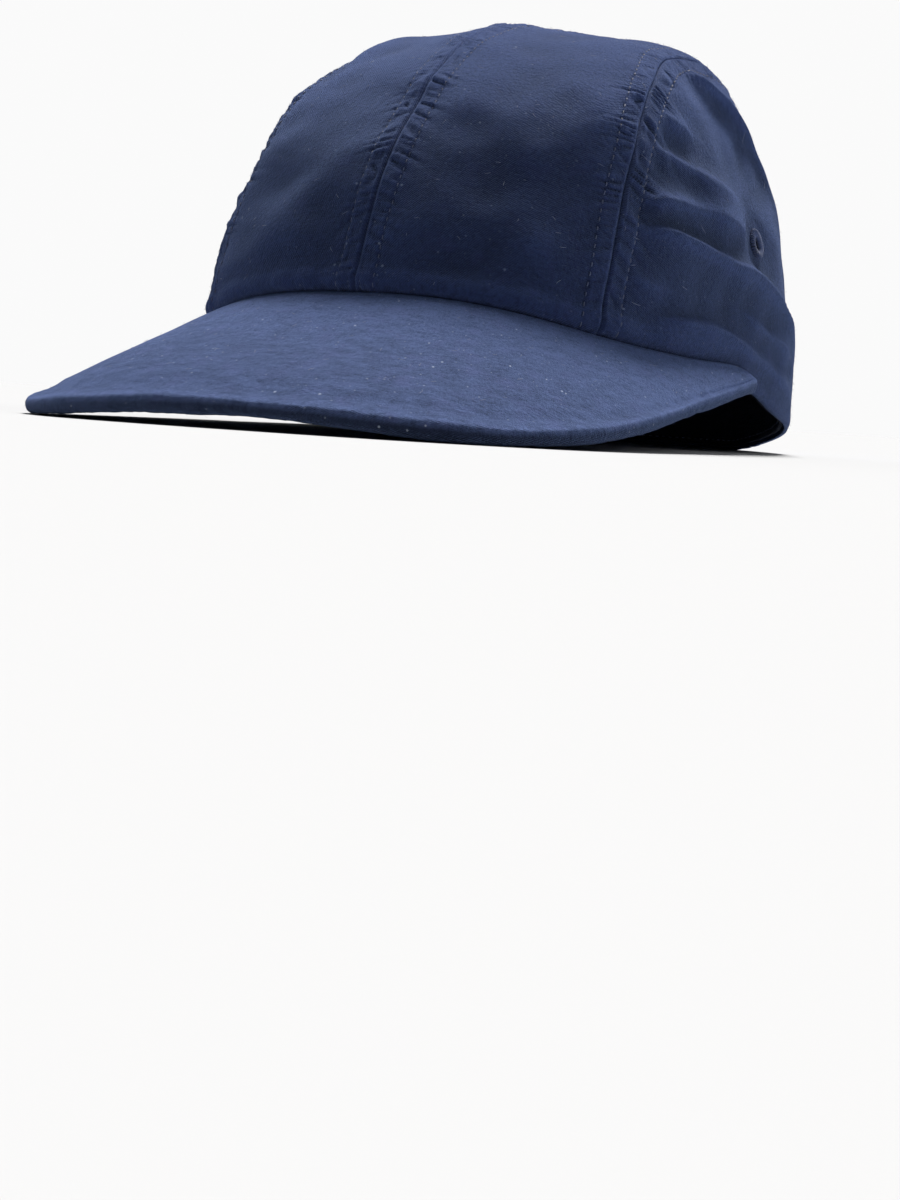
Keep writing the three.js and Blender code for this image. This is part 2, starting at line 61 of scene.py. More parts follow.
# SEAM_GAP is what the CAD's panels keep, SEAM_SLIT what shows between these, and CLOTH their thickness
SEAM_GAP = 0.3
SEAM_SLIT = 0.12
CLOTH = 1.2

# Side seams: distance from the middle, by the angle in degrees from the front over the top
SEAM_AXIS = (-5, 10)
SEAM_FRONT_CORNER = math.radians(76)
SEAM_BACK_CORNER = math.radians(128)
SIDE_SEAM = [(-20, 59.5), (25, 60.5), (50, 58.5), (75, 54), (95, 50), (125, 53), (155, 57), (220, 56)]

# Rim: its height above the surface that the cap rests on, by y
RIM = [(-104, 33.4), (-79, 25), (-54, 21.4), (-28, 20.4), (-10, 18), (10, 12.7), (43, 8), (66, 4), (82, 0)]

# Peak
PEAK_THICKNESS = 4.6
PEAK_FRONT_Y = -175
PEAK_HALF_WIDTH = 88
PEAK_WIDEST_Y = -83
PEAK_END_X = 88.6
PEAK_END_Y = -23
PEAK_POWER = 2.9
PEAK_ARCH = 9.2
PEAK_CROWNING = 0.4
PEAK_REACH = 70
ROOT_CLEARANCE = 0.15
PEAK_ROOT_END = 9
PEAK_HEM = 7
WIDEST_HEM = 0.45
COVER_SHARE = 0.56
INSET = PEAK_THICKNESS / 2
COVER_DEPTH = PEAK_THICKNESS * COVER_SHARE
OVER_PEAK_Y = (-50, -20)

# Sweatband
BAND_HEIGHT = 27
BAND_WALL = 1.3
BAND_RISE = 1.2
BAND_SETBACK = 2.3
BAND_STITCHES = (1.8, BAND_HEIGHT - 2.5)
BAND_CLEARANCE = 1.5
BAND_STEPS = 360
BAND_ROWS = 9

# Eyelets: a strand wound EYELET_TURNS times round a ring. The CAD's eyelet has its middle at CAD_EYELET_LIFT.
EYELET_AT = (78, 1.5, 40.5)
EYELET_RADIUS = 3.3
EYELET_THREAD = 1.1
EYELET_STRAND = 0.26
EYELET_HOLE = 2.9
EYELET_TURNS = 34
EYELET_STEPS = 12
CAD_EYELET_LIFT = 0.99

# Seams: a fine groove, then a raised and puckered allowance, held by a row of small stitches
STITCH_OFFSET = 5.6
GROOVE_DEPTH = 0.34
GROOVE_WIDTH = 0.34
ALLOWANCE_HEIGHT = 0.22
PUCKER_LENGTH = 5.3
FINE_PUCKER_LENGTH = 2.6
STITCH_PITCH = 2.7
STITCH_LENGTH = 1.5
STITCH_PHASE = 0.2
THREAD_RADIUS = 0.17
MIDDLE_STITCH_BULK = 0.7
ALLOWANCE_REACH = 6.6
ALLOWANCE_CLOTH = 0.5
ALLOWANCE_GAP = 0.08

# Soft folds of the side panels. Each row has the crest's path of (y, z) as seen from the side, the widths of
# its upper and lower slopes, its height, and the share of the path at which it starts to fade out.
FOLDS = [
    ([(-66, 49), (-51, 46), (-39, 42), (-22, 36), (-5, 31), (12, 22), (24, 13), (36, 2), (47, -10)],
     1.9, 6.0, 3.5, 0.62),
    ([(-58, 55), (-44, 54), (-30, 51), (-20, 48), (-10, 45), (-3, 41)], 5, 5.5, 3.4, 0.6),
    ([(-44, 70), (-29, 63), (-22, 59), (-13, 55), (0, 50)], 3.2, 5, 2.4, 0.4),
    ([(-35, 80), (-24, 74), (-14, 69)], 2.5, 4, 1.5, 0.4),
    ([(-75, 39), (-65, 35), (-59, 32), (-46, 28)], 2.0, 4.5, 1.2, 0.3),
    ([(-65, 25), (-55, 23), (-44, 21), (-33, 18), (-22, 13), (-14, 9), (-2, 4), (11, -2), (27, -9),
      (42, -17)],
     2.0, 5.5, 2.7, 0.6),
    ([(-20, 23), (-6, 16), (6, 11), (19, 4), (31, -4)], 2.4, 4.5, 1.7, 0.45),
    ([(-6, 90), (1, 88), (7, 85), (18, 76), (30, 58), (33, 47), (34, 34)], 8, 2.0, 2.9, 0.5),
]
FOLD_FADE_IN = 0.16
FOLD_ROUND = 0.35
FOLD_POWER = 1.12
RIGHT_FOLD_SHARE = 0.7
SEAM_RIDGE = 2.2
RIGHT_SEAM_RIDGE = 3.2
RIDGE_SPREAD = 20
TOP_HOLLOW = 2.3
FRONT_HOLLOW = {"at": (36, -82, 60), "depth": 2.2, "size": 20}
DEEPEST_OVER_BAND = -0.95
RIGHT_TOP_FOLD = {"x": 39, "y": -8, "height": 2.0, "inner": 9, "outer": 3.5, "length": 34}
SHAPED_FROM_Z = 56
SHAPED_FULL_Z = 92

# Painted light: how much paler the top is painted, standing in for light from above, and how much paler the
# rim above the peak is painted, standing in for light thrown up onto it from below
PAINTED_TOP_LIGHT = 2.3
PAINTED_RIM_LIGHT = 0.38

# Loose lint on the cloth, and the cloth's own raised fibres
FIBRES = 270
FIBRE_RADIUS = 0.05
NAP_FIBRES = 7000
NAP_RADIUS = 0.028

# The camera: the photo's distance and direction round the cap, but above the surface it rests on
PHOTO_WIDTH = 900
PHOTO_HEIGHT = 1200
FOCAL_PX = 2000
SENSOR = 36
CAMERA_AT = (0.258, -0.542, 0.008)
CAMERA_AIM = (0.0, 0.0098, 0.0674)
AIM_PX = (483, 212)
CAMERA_ROLL = math.radians(3.5)
FLOOR_REACH = 12.0

# Fineness of the cloth's meshes, with odd counts because the inner faces use every second point
CENTRE_ROWS = 105
CENTRE_COLUMNS = 521
SIDE_ROWS = 151
SIDE_COLUMNS = 381
SEAM_STEPS = 2400

# The peak's rows of points over its top, round its edge, under its hem and back inside
PEAK_STATIONS = 421
TOP_ROWS = 46
EDGE_ROWS = 18
HEM_ROWS = 10
INNER_ROWS = 12
UNDERSIDE_ROWS = 24
TIP_CREASE = 46

# Numerical limits: steps and range of a search along a ray, a difference step, and points handled at once
HALVINGS = 40
FARTHEST = 180
NORMAL_STEP = 0.4
CHUNK = 4000


def smoothstep(value, low, high):
    t = np.clip((value - low) / (high - low), 0, 1)
    return t * t * (3 - 2 * t)


def bell(value, width):
    return np.exp(-((value / width) ** 2))


def normalised(vectors):
    return vectors / np.linalg.norm(vectors, axis=-1, keepdims=True)


def running_sum(steps):
    return np.concatenate([[0], np.cumsum(steps)])


def path_lengths(points):
    """The distance along a path to each of its points."""
    return running_sum(np.linalg.norm(np.diff(points, axis=0), axis=1))


def table_value(table, at):
    """A value read from rows of place and value, by a smooth curve through them."""
    xs, ys = np.array(table, float).T
    slopes = np.gradient(ys, xs)
    slopes[1:-1] = (ys[2:] - ys[:-2]) / (xs[2:] - xs[:-2])
    at = np.clip(at, xs[0], xs[-1])
    i = np.clip(np.searchsorted(xs, at, side="right") - 1, 0, len(xs) - 2)
    span = xs[i + 1] - xs[i]
    u = (at - xs[i]) / span
    start = (1 + 2 * u) * (1 - u) ** 2
    end = u * u * (3 - 2 * u)
    leave = u * (1 - u) ** 2 * span * slopes[i]
    arrive = u * u * (u - 1) * span * slopes[i + 1]
    return start * ys[i] + end * ys[i + 1] + leave + arrive


def ripple(points, wavelength, seed, waves=16):
    """Smooth noise of about unit size, from waves in seeded directions."""
    draw = np.random.default_rng(seed)
    direction = normalised(draw.normal(size=(waves, points.shape[-1])))
    number = 2 * np.pi / wavelength * draw.uniform(0.6, 1.5, waves)
    phase = draw.uniform(0, 2 * np.pi, waves)
    return np.sin(points @ (direction * number[:, None]).T + phase).sum(-1) * np.sqrt(2 / waves)


def ripple_1d(at, wavelength, seed):
    return ripple(np.asarray(at, float)[..., None], wavelength, seed, waves=8)


# The crown's smooth dome


def section(z):
    sine = (z - WIDEST_Z) / np.where(z > WIDEST_Z, CROWN_RISE, CROWN_TUCK)
    cosine = np.sqrt(np.maximum(1 - sine * sine, 1e-12))
    side = CROWN_HALF_WIDTH * cosine**SIDE_ROUND
    return side, CROWN_FRONT * cosine**FRONT_ROUND, CROWN_BACK * cosine**BACK_ROUND


def dome_field(p):
    """Negative inside the dome, positive outside."""
    side, front, back = section(p[..., 2])
    y = p[..., 1] - CROWN_MIDDLE_Y
    depth = np.where(y < 0, front, back)
    return (np.abs(p[..., 0]) / side) ** SECTION_POWER + (np.abs(y) / depth) ** SECTION_POWER - 1


def dome_normal(p):
    steps = np.eye(3) * NORMAL_STEP
    return normalised(np.stack([dome_field(p + h) - dome_field(p - h) for h in steps], -1))


def dome_at(plan, z):
    """The dome's point at a plan angle, 0 at +X and -90 degrees at the front, and a height."""
    side, front, back = section(z)
    c, s = np.cos(plan), np.sin(plan)
    depth = np.where(s < 0, front, back)
    x = side * np.sign(c) * np.abs(c) ** (2 / SECTION_POWER)
    y = CROWN_MIDDLE_Y + depth * np.sign(s) * np.abs(s) ** (2 / SECTION_POWER)
    return np.stack([x, y, z + 0 * x], -1)


def reach(inside, shape, limit):
    """The largest value in 0 to limit where inside(value) still holds."""
    low = np.zeros(shape)
    high = np.full(shape, float(limit))
    for _ in range(HALVINGS):
        middle = (low + high) / 2
        hit = inside(middle)
        low = np.where(hit, middle, low)
        high = np.where(hit, high, middle)
    return (low + high) / 2


def over_top(x, angle):
    """The dome's point at a distance x from the middle plane, at an angle over the top from the front."""
    x, angle = np.broadcast_arrays(np.asarray(x, float), np.asarray(angle, float))

    def at(radius):
        y = SEAM_AXIS[0] - radius * np.cos(angle)
        return np.stack([x, y, SEAM_AXIS[1] + radius * np.sin(angle)], -1)

    return at(reach(lambda radius: dome_field(at(radius)) < 0, x.shape, FARTHEST))


def over_angle(p):
    return np.arctan2(p[..., 2] - SEAM_AXIS[1], SEAM_AXIS[0] - p[..., 1])


def onto_dome(p):
    """The dome's points on the lines from its centre through p."""
    ray = normalised(p)
    far = reach(lambda r: dome_field(ray * r[..., None]) < 0, ray.shape[:-1], FARTHEST)
    return ray * far[..., None]


def seam_offset(angle):
    degrees = np.degrees(np.mod(angle + np.pi / 2, 2 * np.pi) - np.pi / 2)
    return table_value(SIDE_SEAM, degrees)


# The peak's outline, and the plane that the cap rests on


def peak_outline():
    u = np.arange(12) / 12
    side_x = PEAK_HALF_WIDTH + (PEAK_END_X - PEAK_HALF_WIDTH) * (1 - u) ** 2 - INSET
    side_y = PEAK_END_Y + (PEAK_WIDEST_Y - PEAK_END_Y) * u
    turn = np.linspace(0, np.pi / 2, 81)
    front_x = (PEAK_HALF_WIDTH - INSET) * np.abs(np.cos(turn)) ** (2 / PEAK_POWER)
    reach_y = PEAK_WIDEST_Y - PEAK_FRONT_Y - INSET
    front_y = PEAK_WIDEST_Y - reach_y * np.sin(turn) ** (2 / PEAK_POWER)
    half = np.concatenate([np.stack([side_x, side_y], 1), np.stack([front_x, front_y], 1)])
    return np.concatenate([half, half[-2::-1] * (-1, 1)])


OUTLINE = peak_outline()
OUTLINE_LENGTHS = path_lengths(OUTLINE)


def peak_edge_at(fraction):
    goal = np.clip(fraction, 0, 1) * OUTLINE_LENGTHS[-1]
    x = np.interp(goal, OUTLINE_LENGTHS, OUTLINE[:, 0])
    y = np.interp(goal, OUTLINE_LENGTHS, OUTLINE[:, 1])
    forward = np.clip((PEAK_WIDEST_Y - y) / (PEAK_WIDEST_Y - PEAK_FRONT_Y), 0, 1)
    z = PEAK_ARCH * (1 - (x / PEAK_HALF_WIDTH) ** 2) * forward + INSET
    return np.stack([x, y, z], -1)


SLOPE = math.tan(REST_PITCH)
EDGE_SAMPLES = peak_edge_at(np.linspace(0, 1, 401))
REST_OFFSET = (EDGE_SAMPLES[:, 2] + SLOPE * EDGE_SAMPLES[:, 1] - INSET / math.cos(REST_PITCH)).min()
REST_NORMAL = np.array([0, math.sin(REST_PITCH), math.cos(REST_PITCH)])


def rim_z(y):
    return REST_OFFSET - SLOPE * y + table_value(RIM, y)


def rise_over_rim(p):
    return p[..., 2] - rim_z(p[..., 1])


def over_peak(p):
    """1 above the peak, falling to 0 behind its ends."""
    return 1 - smoothstep(p[..., 1], *OVER_PEAK_Y)


def above_rim(plan, rise):
    """The dome's point at a plan angle whose height above the rim is rise."""
    p = dome_at(plan, np.zeros_like(plan))
    for _ in range(30):
        p = dome_at(plan, rim_z(p[..., 1]) + rise)
    return p


def strip_ends(across, inset):
    """The angles at which the strip at a share of the way to the side seam meets the rim."""
    across = np.asarray(across, float)

    def x_at(angle):
        return across * (seam_offset(angle) + inset)

    def limit(side):
        def above(turn):
            angle = np.pi / 2 + side * turn
            p = over_top(x_at(angle), angle)
            return p[..., 2] > rim_z(p[..., 1])

        return np.pi / 2 + side * reach(above, across.shape, math.radians(130))

    return limit(-1), limit(1), x_at


# Distances along and away from seams and folds


class Line:
    """A dense polyline with the nearest place on it to any point."""

    def __init__(self, points):
        self.points = points
        self.along = path_lengths(points)
        self.tangent = normalised(np.gradient(points, axis=0))

    def nearest(self, p):
        flat = p.reshape(-1, p.shape[-1])
        squared = (self.points**2).sum(1)
        parts = [flat[k : k + CHUNK] for k in range(0, len(flat), CHUNK)]
        index = np.concatenate([(squared - 2 * some @ self.points.T).argmin(1) for some in parts])
        away = flat - self.points[index]
        step = (away * self.tangent[index]).sum(1)
        distance = np.sqrt(np.maximum((away**2).sum(1) - step**2, 0))
        along = self.along[index] + step
        shape = p.shape[:-1]
        return distance.reshape(shape), along.reshape(shape), away.reshape(p.shape), index.reshape(shape)


FRONT_END, BACK_END, SEAM_X = strip_ends(1.0, 0)
SIDE_LINE_ANGLES = np.linspace(float(FRONT_END), float(BACK_END), SEAM_STEPS)
SIDE_LINE = Line(over_top(SEAM_X(SIDE_LINE_ANGLES), SIDE_LINE_ANGLES))
MIDDLE_FRONT, MIDDLE_BACK, _ = strip_ends(0.0, 0)
MIDDLE_ANGLES = np.linspace(float(MIDDLE_FRONT), float(MIDDLE_BACK), 900)
MIDDLE_LINE = Line(over_top(0 * MIDDLE_ANGLES, MIDDLE_ANGLES))


def smooth_path(points, steps=24):
    """A smooth curve through a few points."""
    points = np.asarray(points, float)
    ends = [2 * points[0] - points[1], *points, 2 * points[-1] - points[-2]]
    t = (np.arange(steps) / steps)[:, None]
    made = []
    for a, b, c, d in zip(ends, ends[1:], ends[2:], ends[3:]):
        squared = (a - 2.5 * b + 2 * c - d / 2) * t**2
        cubed = (1.5 * (b - c) + (d - a) / 2) * t**3
        made.append(b + (c - a) / 2 * t + squared + cubed)
    return np.concatenate([*made, points[-1:]])


FOLD_LINES = [Line(smooth_path(fold[0])) for fold in FOLDS]


# Relief on the dome, outwards, in millimetres. Points are given with x >= 0, and side is 1 or -1.


def fold_relief(p, side):
    flat = p[..., 1:]
    height = np.zeros(p.shape[:-1])
    for number, ((_, upper, lower, tall, fading), line) in enumerate(zip(FOLDS, FOLD_LINES)):
        distance, along, away, index = line.nearest(flat)
        tangent = line.tangent[index]
        above = away[..., 1] * tangent[..., 0] - away[..., 0] * tangent[..., 1]
        share = np.clip(along / line.along[-1], 0, 1)
        width = np.where(above > 0, upper, lower) * (0.55 + 0.75 * smoothstep(share, 0, 0.7))
        outside = np.maximum(np.maximum(-along, along - line.along[-1]), 0)
        taper = smoothstep(share, 0, FOLD_FADE_IN) * (1 - smoothstep(share, fading, 1))
        wander = 1 + 0.1 * ripple_1d(along, 60, 11 + number)
        rounded = np.sqrt(distance**2 + FOLD_ROUND**2) - FOLD_ROUND
        crest = np.exp(-((rounded / width) ** FOLD_POWER)) * bell(outside, 4)
        height += tall * taper * wander * crest
    return height * (1 if side > 0 else RIGHT_FOLD_SHARE)


def pucker(along, distance, seed, slant, length):
    """Rounded bumps with narrow creases between them, along a seam."""
    drift = 1.6 * ripple_1d(along, 4.5 * length, seed)
    phase = np.pi * (along + slant * distance) / length + drift
    strength = 0.75 + 0.4 * ripple_1d(along, 2.6 * length, seed + 1)
    return strength * (np.abs(np.sin(phase)) ** 0.75 - 0.6)


def at_stitches(along):
    """Near 1 where a stitch's two ends pull the cloth in, near 0 between."""
    middle = STITCH_PHASE * STITCH_PITCH + STITCH_LENGTH / 2
    return 0.5 + 0.5 * np.cos(2 * np.pi * (along - middle) / STITCH_PITCH)


def seam_relief(distance, along, seed, strength, fineness=1.0):
    groove = -GROOVE_DEPTH * bell(distance, GROOVE_WIDTH)
    sewn = smoothstep(distance, 0.35, 1.3)
    sewn = sewn * (1 - smoothstep(distance, STITCH_OFFSET - 0.5, STITCH_OFFSET + 0.5))
    lip = 0.14 * bell(distance - 0.95, 0.5)
    near = smoothstep(distance, 0.2, 1.4) * np.exp(-np.maximum(distance - STITCH_OFFSET, 0) / 2.8)
    held = 1 - 0.35 * bell(distance - STITCH_OFFSET, 0.7)
    row = bell(distance - STITCH_OFFSET, 0.5)
    stitch_dip = -row * (0.12 + 0.2 * at_stitches(along))
    coarse = 0.95 * pucker(along, distance, seed, 0.55, PUCKER_LENGTH)
    close = smoothstep(distance, 0.6, 2.5) * np.exp(-np.maximum(distance - STITCH_OFFSET, 0) / 1.1)
    fine = 0.42 * fineness * close * pucker(along, distance, seed + 5, 0.4, FINE_PUCKER_LENGTH)
    return groove + lip + ALLOWANCE_HEIGHT * sewn + stitch_dip + strength * held * (near * coarse + fine)


def crown_relief(p, side):
    angle = over_angle(p)
    share = np.abs(p[..., 0]) / seam_offset(angle)
    centre = share < 1
    z = p[..., 2]
    high = smoothstep(z, SHAPED_FROM_Z, SHAPED_FULL_Z)
    d_side, s_side, _, _ = SIDE_LINE.nearest(p)
    d_middle = np.abs(p[..., 0])
    s_middle = np.interp(angle, MIDDLE_ANGLES, MIDDLE_LINE.along)
    seed = 40 if side > 0 else 70

    hollow = np.where(centre, np.sin(np.pi * np.clip(share, 0, 1)) ** 2, 0)
    ridge = np.where(centre, np.clip(share, 0, 1) ** 3, 1 - smoothstep(d_side, 0, RIDGE_SPREAD))
    height = high * ((SEAM_RIDGE if side > 0 else RIGHT_SEAM_RIDGE) * ridge - TOP_HOLLOW * hollow)
    rise = rise_over_rim(p)
    from_hollow = np.linalg.norm(p - np.array(FRONT_HOLLOW["at"]), axis=-1)
    dent = FRONT_HOLLOW["depth"] * bell(from_hollow, FRONT_HOLLOW["size"]) * smoothstep(rise, 24, 50)
    height = height - np.where(centre, dent, 0)
    if side < 0:
        fold = RIGHT_TOP_FOLD
        across = p[..., 0] - fold["x"]
        crest = high * fold["height"] * bell(across, np.where(across > 0, fold["outer"], fold["inner"]))
        height = height + np.where(centre, crest * bell(p[..., 1] - fold["y"], fold["length"]), 0)
    from_edges = smoothstep(d_side, 2, 12) * smoothstep(rise, 2, 12)
    height = height + np.where(centre, 0, from_edges * fold_relief(p, side))

    signed = p * (side, 1, 1)
    height = height + smoothstep(rise, 0, 20) * (0.55 * ripple(signed, 46, 5) + 0.16 * ripple(signed, 17, 6))

    strong = 0.5 + 0.5 * bell(s_side - 66, 30)
    for panel in (True, False):
        here = centre == panel
        made = seam_relief(d_side, s_side, seed + 3 + 4 * panel, strong * (0.9 if panel else 1.1))
        height = height + np.where(here, made, 0)
    height = height + np.where(centre, seam_relief(d_middle, s_middle, seed + 20, 0.5, 1.9), 0)

    # Longer wrinkles that run from the side seam's stitches into the side panel
    far = np.exp(-np.maximum(d_side - STITCH_OFFSET, 0) / 11) * smoothstep(d_side, 3, 8)
    drawn = bell(s_side - 62, 34) * far * pucker(s_side, d_side, seed + 31, 0.6, 8.5)
    height = height + np.where(centre, 0.3, 0.6) * drawn

    # The rim's turned edge, and the crown's lower edge gathered above the peak
    height = height - 0.7 * bell(rise, 1.4)
    front_rim = 1.15 * bell(rise - 9.6, 3.3) - 1.0 * bell(rise - 5.2, 1.5)
    height = height + over_peak(p) * front_rim * (1 + 0.16 * ripple_1d(p[..., 0] * side, 13, 9))
    from_eyelet = np.linalg.norm(p - np.array(EYELET_AT), axis=-1)
    clear = smoothstep(from_eyelet, 5, 11)
    height = height * clear + (1 - clear) * 0.1 * bell(from_eyelet, 6)
    over_band = 1 - smoothstep(rise, 28, 44)
    return np.where(height < DEEPEST_OVER_BAND, height + (DEEPEST_OVER_BAND - height) * over_band, height)


def blurred(height, times):
    made = height.copy()
    for _ in range(times):
        inside = made[1:-1, 1:-1] * 2 + made[:-2, 1:-1] + made[2:, 1:-1] + made[1:-1, :-2] + made[1:-1, 2:]
        made[1:-1, 1:-1] = inside / 6
    return made


def crease_of(height):
    """How deep each point lies below the cloth round it, close by and further off; negative on crests. The
    cloth's material paints shade into the creases and highlights onto the crests from it.
    """
    close = blurred(height, 6) - height
    broad = blurred(height, 160) - height
    return np.clip(2.2 * close + 0.48 * broad, -1, 1)


# Meshes


def pitched(points):
    """From the cap's own frame, in millimetres, to metres at its resting pitch."""
    c, s = math.cos(REST_PITCH), math.sin(REST_PITCH)
    x, y, z = np.moveaxis(points, -1, 0)
    return np.stack([x, y * c - z * s, y * s + z * c], -1) * MM


# The shared frame is found from the CAD's left eyelet
eyelet_spot = onto_dome(np.array(EYELET_AT, float))
eyelet_out = dome_normal(eyelet_spot)
row_shift = np.mean(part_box("eyelet_left"), axis=0) - pitched(eyelet_spot + eyelet_out * CAD_EYELET_LIFT)
row_shift[0] = 0


def signed_volume(points, faces):
    total = 0
    for size in (3, 4):
        some = np.array([f for f in faces if len(f) == size])
        if not len(some):
            continue
        for k in range(1, size - 1):
            a, b, c = points[some[:, 0]], points[some[:, k]], points[some[:, k + 1]]
            total += np.einsum("ij,ij->", a, np.cross(b, c))
    return total


def make_piece(name, points, faces, material, slot, replaces=(), cloth=None):
    """A mesh piece that rides on the cap's one body; points in the cap's own frame."""
    if signed_volume(points, faces) < 0:
        faces = [tuple(reversed(f)) for f in faces]
    mesh = bpy.data.meshes.new(name)
    placed = pitched(points) + row_shift
    placed[:, 2] = np.maximum(placed[:, 2], 0)
    mesh.from_pydata(placed.tolist(), [], [tuple(map(int, f)) for f in faces])
    mesh.polygons.foreach_set("use_smooth", [True] * len(mesh.polygons))
    made = np.zeros((len(points), 3)) if cloth is None else cloth
    attribute = mesh.attributes.new("cloth", "FLOAT_VECTOR", "POINT")
    attribute.data.foreach_set("vector", made.astype("f4").ravel())
    mesh.materials.append(material)
    mesh.update()
    piece = bpy.data.objects.new(name, mesh)
    bpy.context.scene.collection.objects.link(piece)
    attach(piece, "root")
    if replaces:
        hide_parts(*replaces)


def ring_quads(ids):
    """Quads from each closed ring of point numbers to the next."""
    turned = np.roll(ids, -1, -1)
    near, far = (..., slice(None, -1), slice(None)), (..., slice(1, None), slice(None))
    return np.stack([ids[near], turned[near], turned[far], ids[far]], -1).reshape(-1, 4).tolist()


def ring_ids(count, size):
    """Point numbers of count rings in a closed loop, with the first ring again at the end."""
    ids = np.arange(count * size).reshape(count, size)
    return np.concatenate([ids, ids[:1]])


def closed_sheet(outer, inner, hole=None):
    """Faces between a fine outer grid and an inner grid of half its steps, closed round every edge."""
    rows, columns = inner.shape[:2]
    fine_rows, fine_columns = outer.shape[:2]
    out_id = np.arange(fine_rows * fine_columns).reshape(fine_rows, fine_columns)
    in_id = out_id.size + np.arange(rows * columns).reshape(rows, columns)
    keep = np.ones((rows - 1, columns - 1), bool) if hole is None else ~hole
    faces = []
    for ids, kept, order in (
        (out_id, np.repeat(np.repeat(keep, 2, 0), 2, 1), (0, 1, 2, 3)),
        (in_id, keep, (0, 3, 2, 1)),
    ):
        corners = [ids[:-1, :-1][kept], ids[:-1, 1:][kept], ids[1:, 1:][kept], ids[1:, :-1][kept]]
        faces += np.stack([corners[k] for k in order], 1).tolist()
    ringed = np.pad(keep, 1)
    edges = [((-1, 0), (0, 0), (0, 1)), ((0, 1), (0, 1), (1, 1))]
    edges += [((1, 0), (1, 1), (1, 0)), ((0, -1), (1, 0), (0, 0))]
    for i, j in np.argwhere(keep):
        for (di, dj), (ai, aj), (bi, bj) in edges:
            if ringed[i + 1 + di, j + 1 + dj]:
                continue
            a, b = (i + ai, j + aj), (i + bi, j + bj)
            middle = out_id[a[0] + b[0], a[1] + b[1]]
            out_a, out_b = out_id[2 * a[0], 2 * a[1]], out_id[2 * b[0], 2 * b[1]]
            in_a, in_b = in_id[a], in_id[b]
            faces += [[middle, out_a, in_a], [middle, in_a, in_b], [out_b, middle, in_b]]
    points = np.concatenate([outer.reshape(-1, 3), inner.reshape(-1, 3)])
    return points, faces


def drop_unused(points, faces, *data):
    used = np.unique(np.concatenate([np.asarray(f) for f in faces]))
    new = np.full(len(points), -1)
    new[used] = np.arange(len(used))
    return points[used], [tuple(new[list(f)]) for f in faces], *[d[used] for d in data]


def rim_flat(normals, on_rim):
    """Normals on the rim turned into the plane that the rim lies in."""
    flat = normals - (normals @ REST_NORMAL)[..., None] * REST_NORMAL
    return np.where(on_rim[..., None], normalised(flat), normals)


def cloth_data(grid, relief):
    """Per point: millimetres along the two directions of the grid, and the crease depth."""
    v = running_sum(np.linalg.norm(np.diff(grid, axis=0), axis=2).mean(1))
    u = running_sum(np.linalg.norm(np.diff(grid, axis=1), axis=2).mean(0))
    return np.stack(np.broadcast_arrays(u, v[:, None], crease_of(relief)), -1)


def eased(count, crowding):
    """Even steps from 0 to 1, crowded towards both ends."""
    u = np.linspace(0, 1, count)
    return u - crowding * np.sin(2 * np.pi * u) / (2 * np.pi)


# Points and normals of the visible cloth, from which its nap is grown
NAP_GROUND = []


def panel_piece(name, base, on_rim, side, material, flat_x=None, pierced=False):
    normals = rim_flat(dome_normal(base), on_rim)
    relief = crown_relief(base, side)
    outer = base + normals * relief[..., None]
    inner = (base + normals * (relief - CLOTH)[..., None])[::2, ::2]
    if flat_x is not None:
        outer[0, :, 0] = flat_x
        inner[0, :, 0] = flat_x
    cloth = cloth_data(base, relief)
    # Painted light: the crown's rim above the peak is painted paler, standing in for light thrown up onto it
    # from below
    cloth[..., 2] -= PAINTED_RIM_LIGHT * over_peak(base) * bell(rise_over_rim(base) - 7, 6)
    from_eyelet = np.linalg.norm(base - eyelet_spot, axis=-1)
    grown = (from_eyelet > EYELET_RADIUS + 2) & ~on_rim
    NAP_GROUND.append((outer[grown] * (side, 1, 1), normals[grown] * (side, 1, 1)))
    hole = None
    if pierced:
        cells = (inner[:-1, :-1] + inner[1:, 1:]) / 2 - eyelet_spot
        axial = cells @ eyelet_out
        radial = np.linalg.norm(cells - axial[..., None] * eyelet_out, axis=-1)
        hole = radial < EYELET_HOLE
    points, faces = closed_sheet(outer, inner, hole)
    data = np.concatenate([cloth.reshape(-1, 3), cloth[::2, ::2].reshape(-1, 3)])
    points, faces, data = drop_unused(points, faces, data)
    points = points * (side, 1, 1)
    make_piece(name, points, faces, material, "navy_cotton", [name.replace("_cloth", "")], data)


def centre_panel(side, word, material):
    shares = eased(CENTRE_ROWS, 0.7)
    front, back, _ = strip_ends(shares, -SEAM_SLIT / 2)
    u = np.linspace(0, 1, CENTRE_COLUMNS)
    angle = front[:, None] + (back - front)[:, None] * u[None, :]
    x = np.maximum(shares[:, None] * (seam_offset(angle) - SEAM_SLIT / 2), SEAM_SLIT / 2)
    base = over_top(x, angle)
    on_rim = np.zeros(x.shape, bool)
    on_rim[:, [0, -1]] = True
    panel_piece(f"crown_panel_{word}_cloth", base, on_rim, side, material, flat_x=SEAM_SLIT / 2)


def plan_angle(p):
    side, front, back = section(p[..., 2])
    y = p[..., 1] - CROWN_MIDDLE_Y
    depth = np.where(y < 0, front, back)
    power = SECTION_POWER / 2
    return np.arctan2(np.sign(y) * (np.abs(y) / depth) ** power, (p[..., 0] / side) ** power)


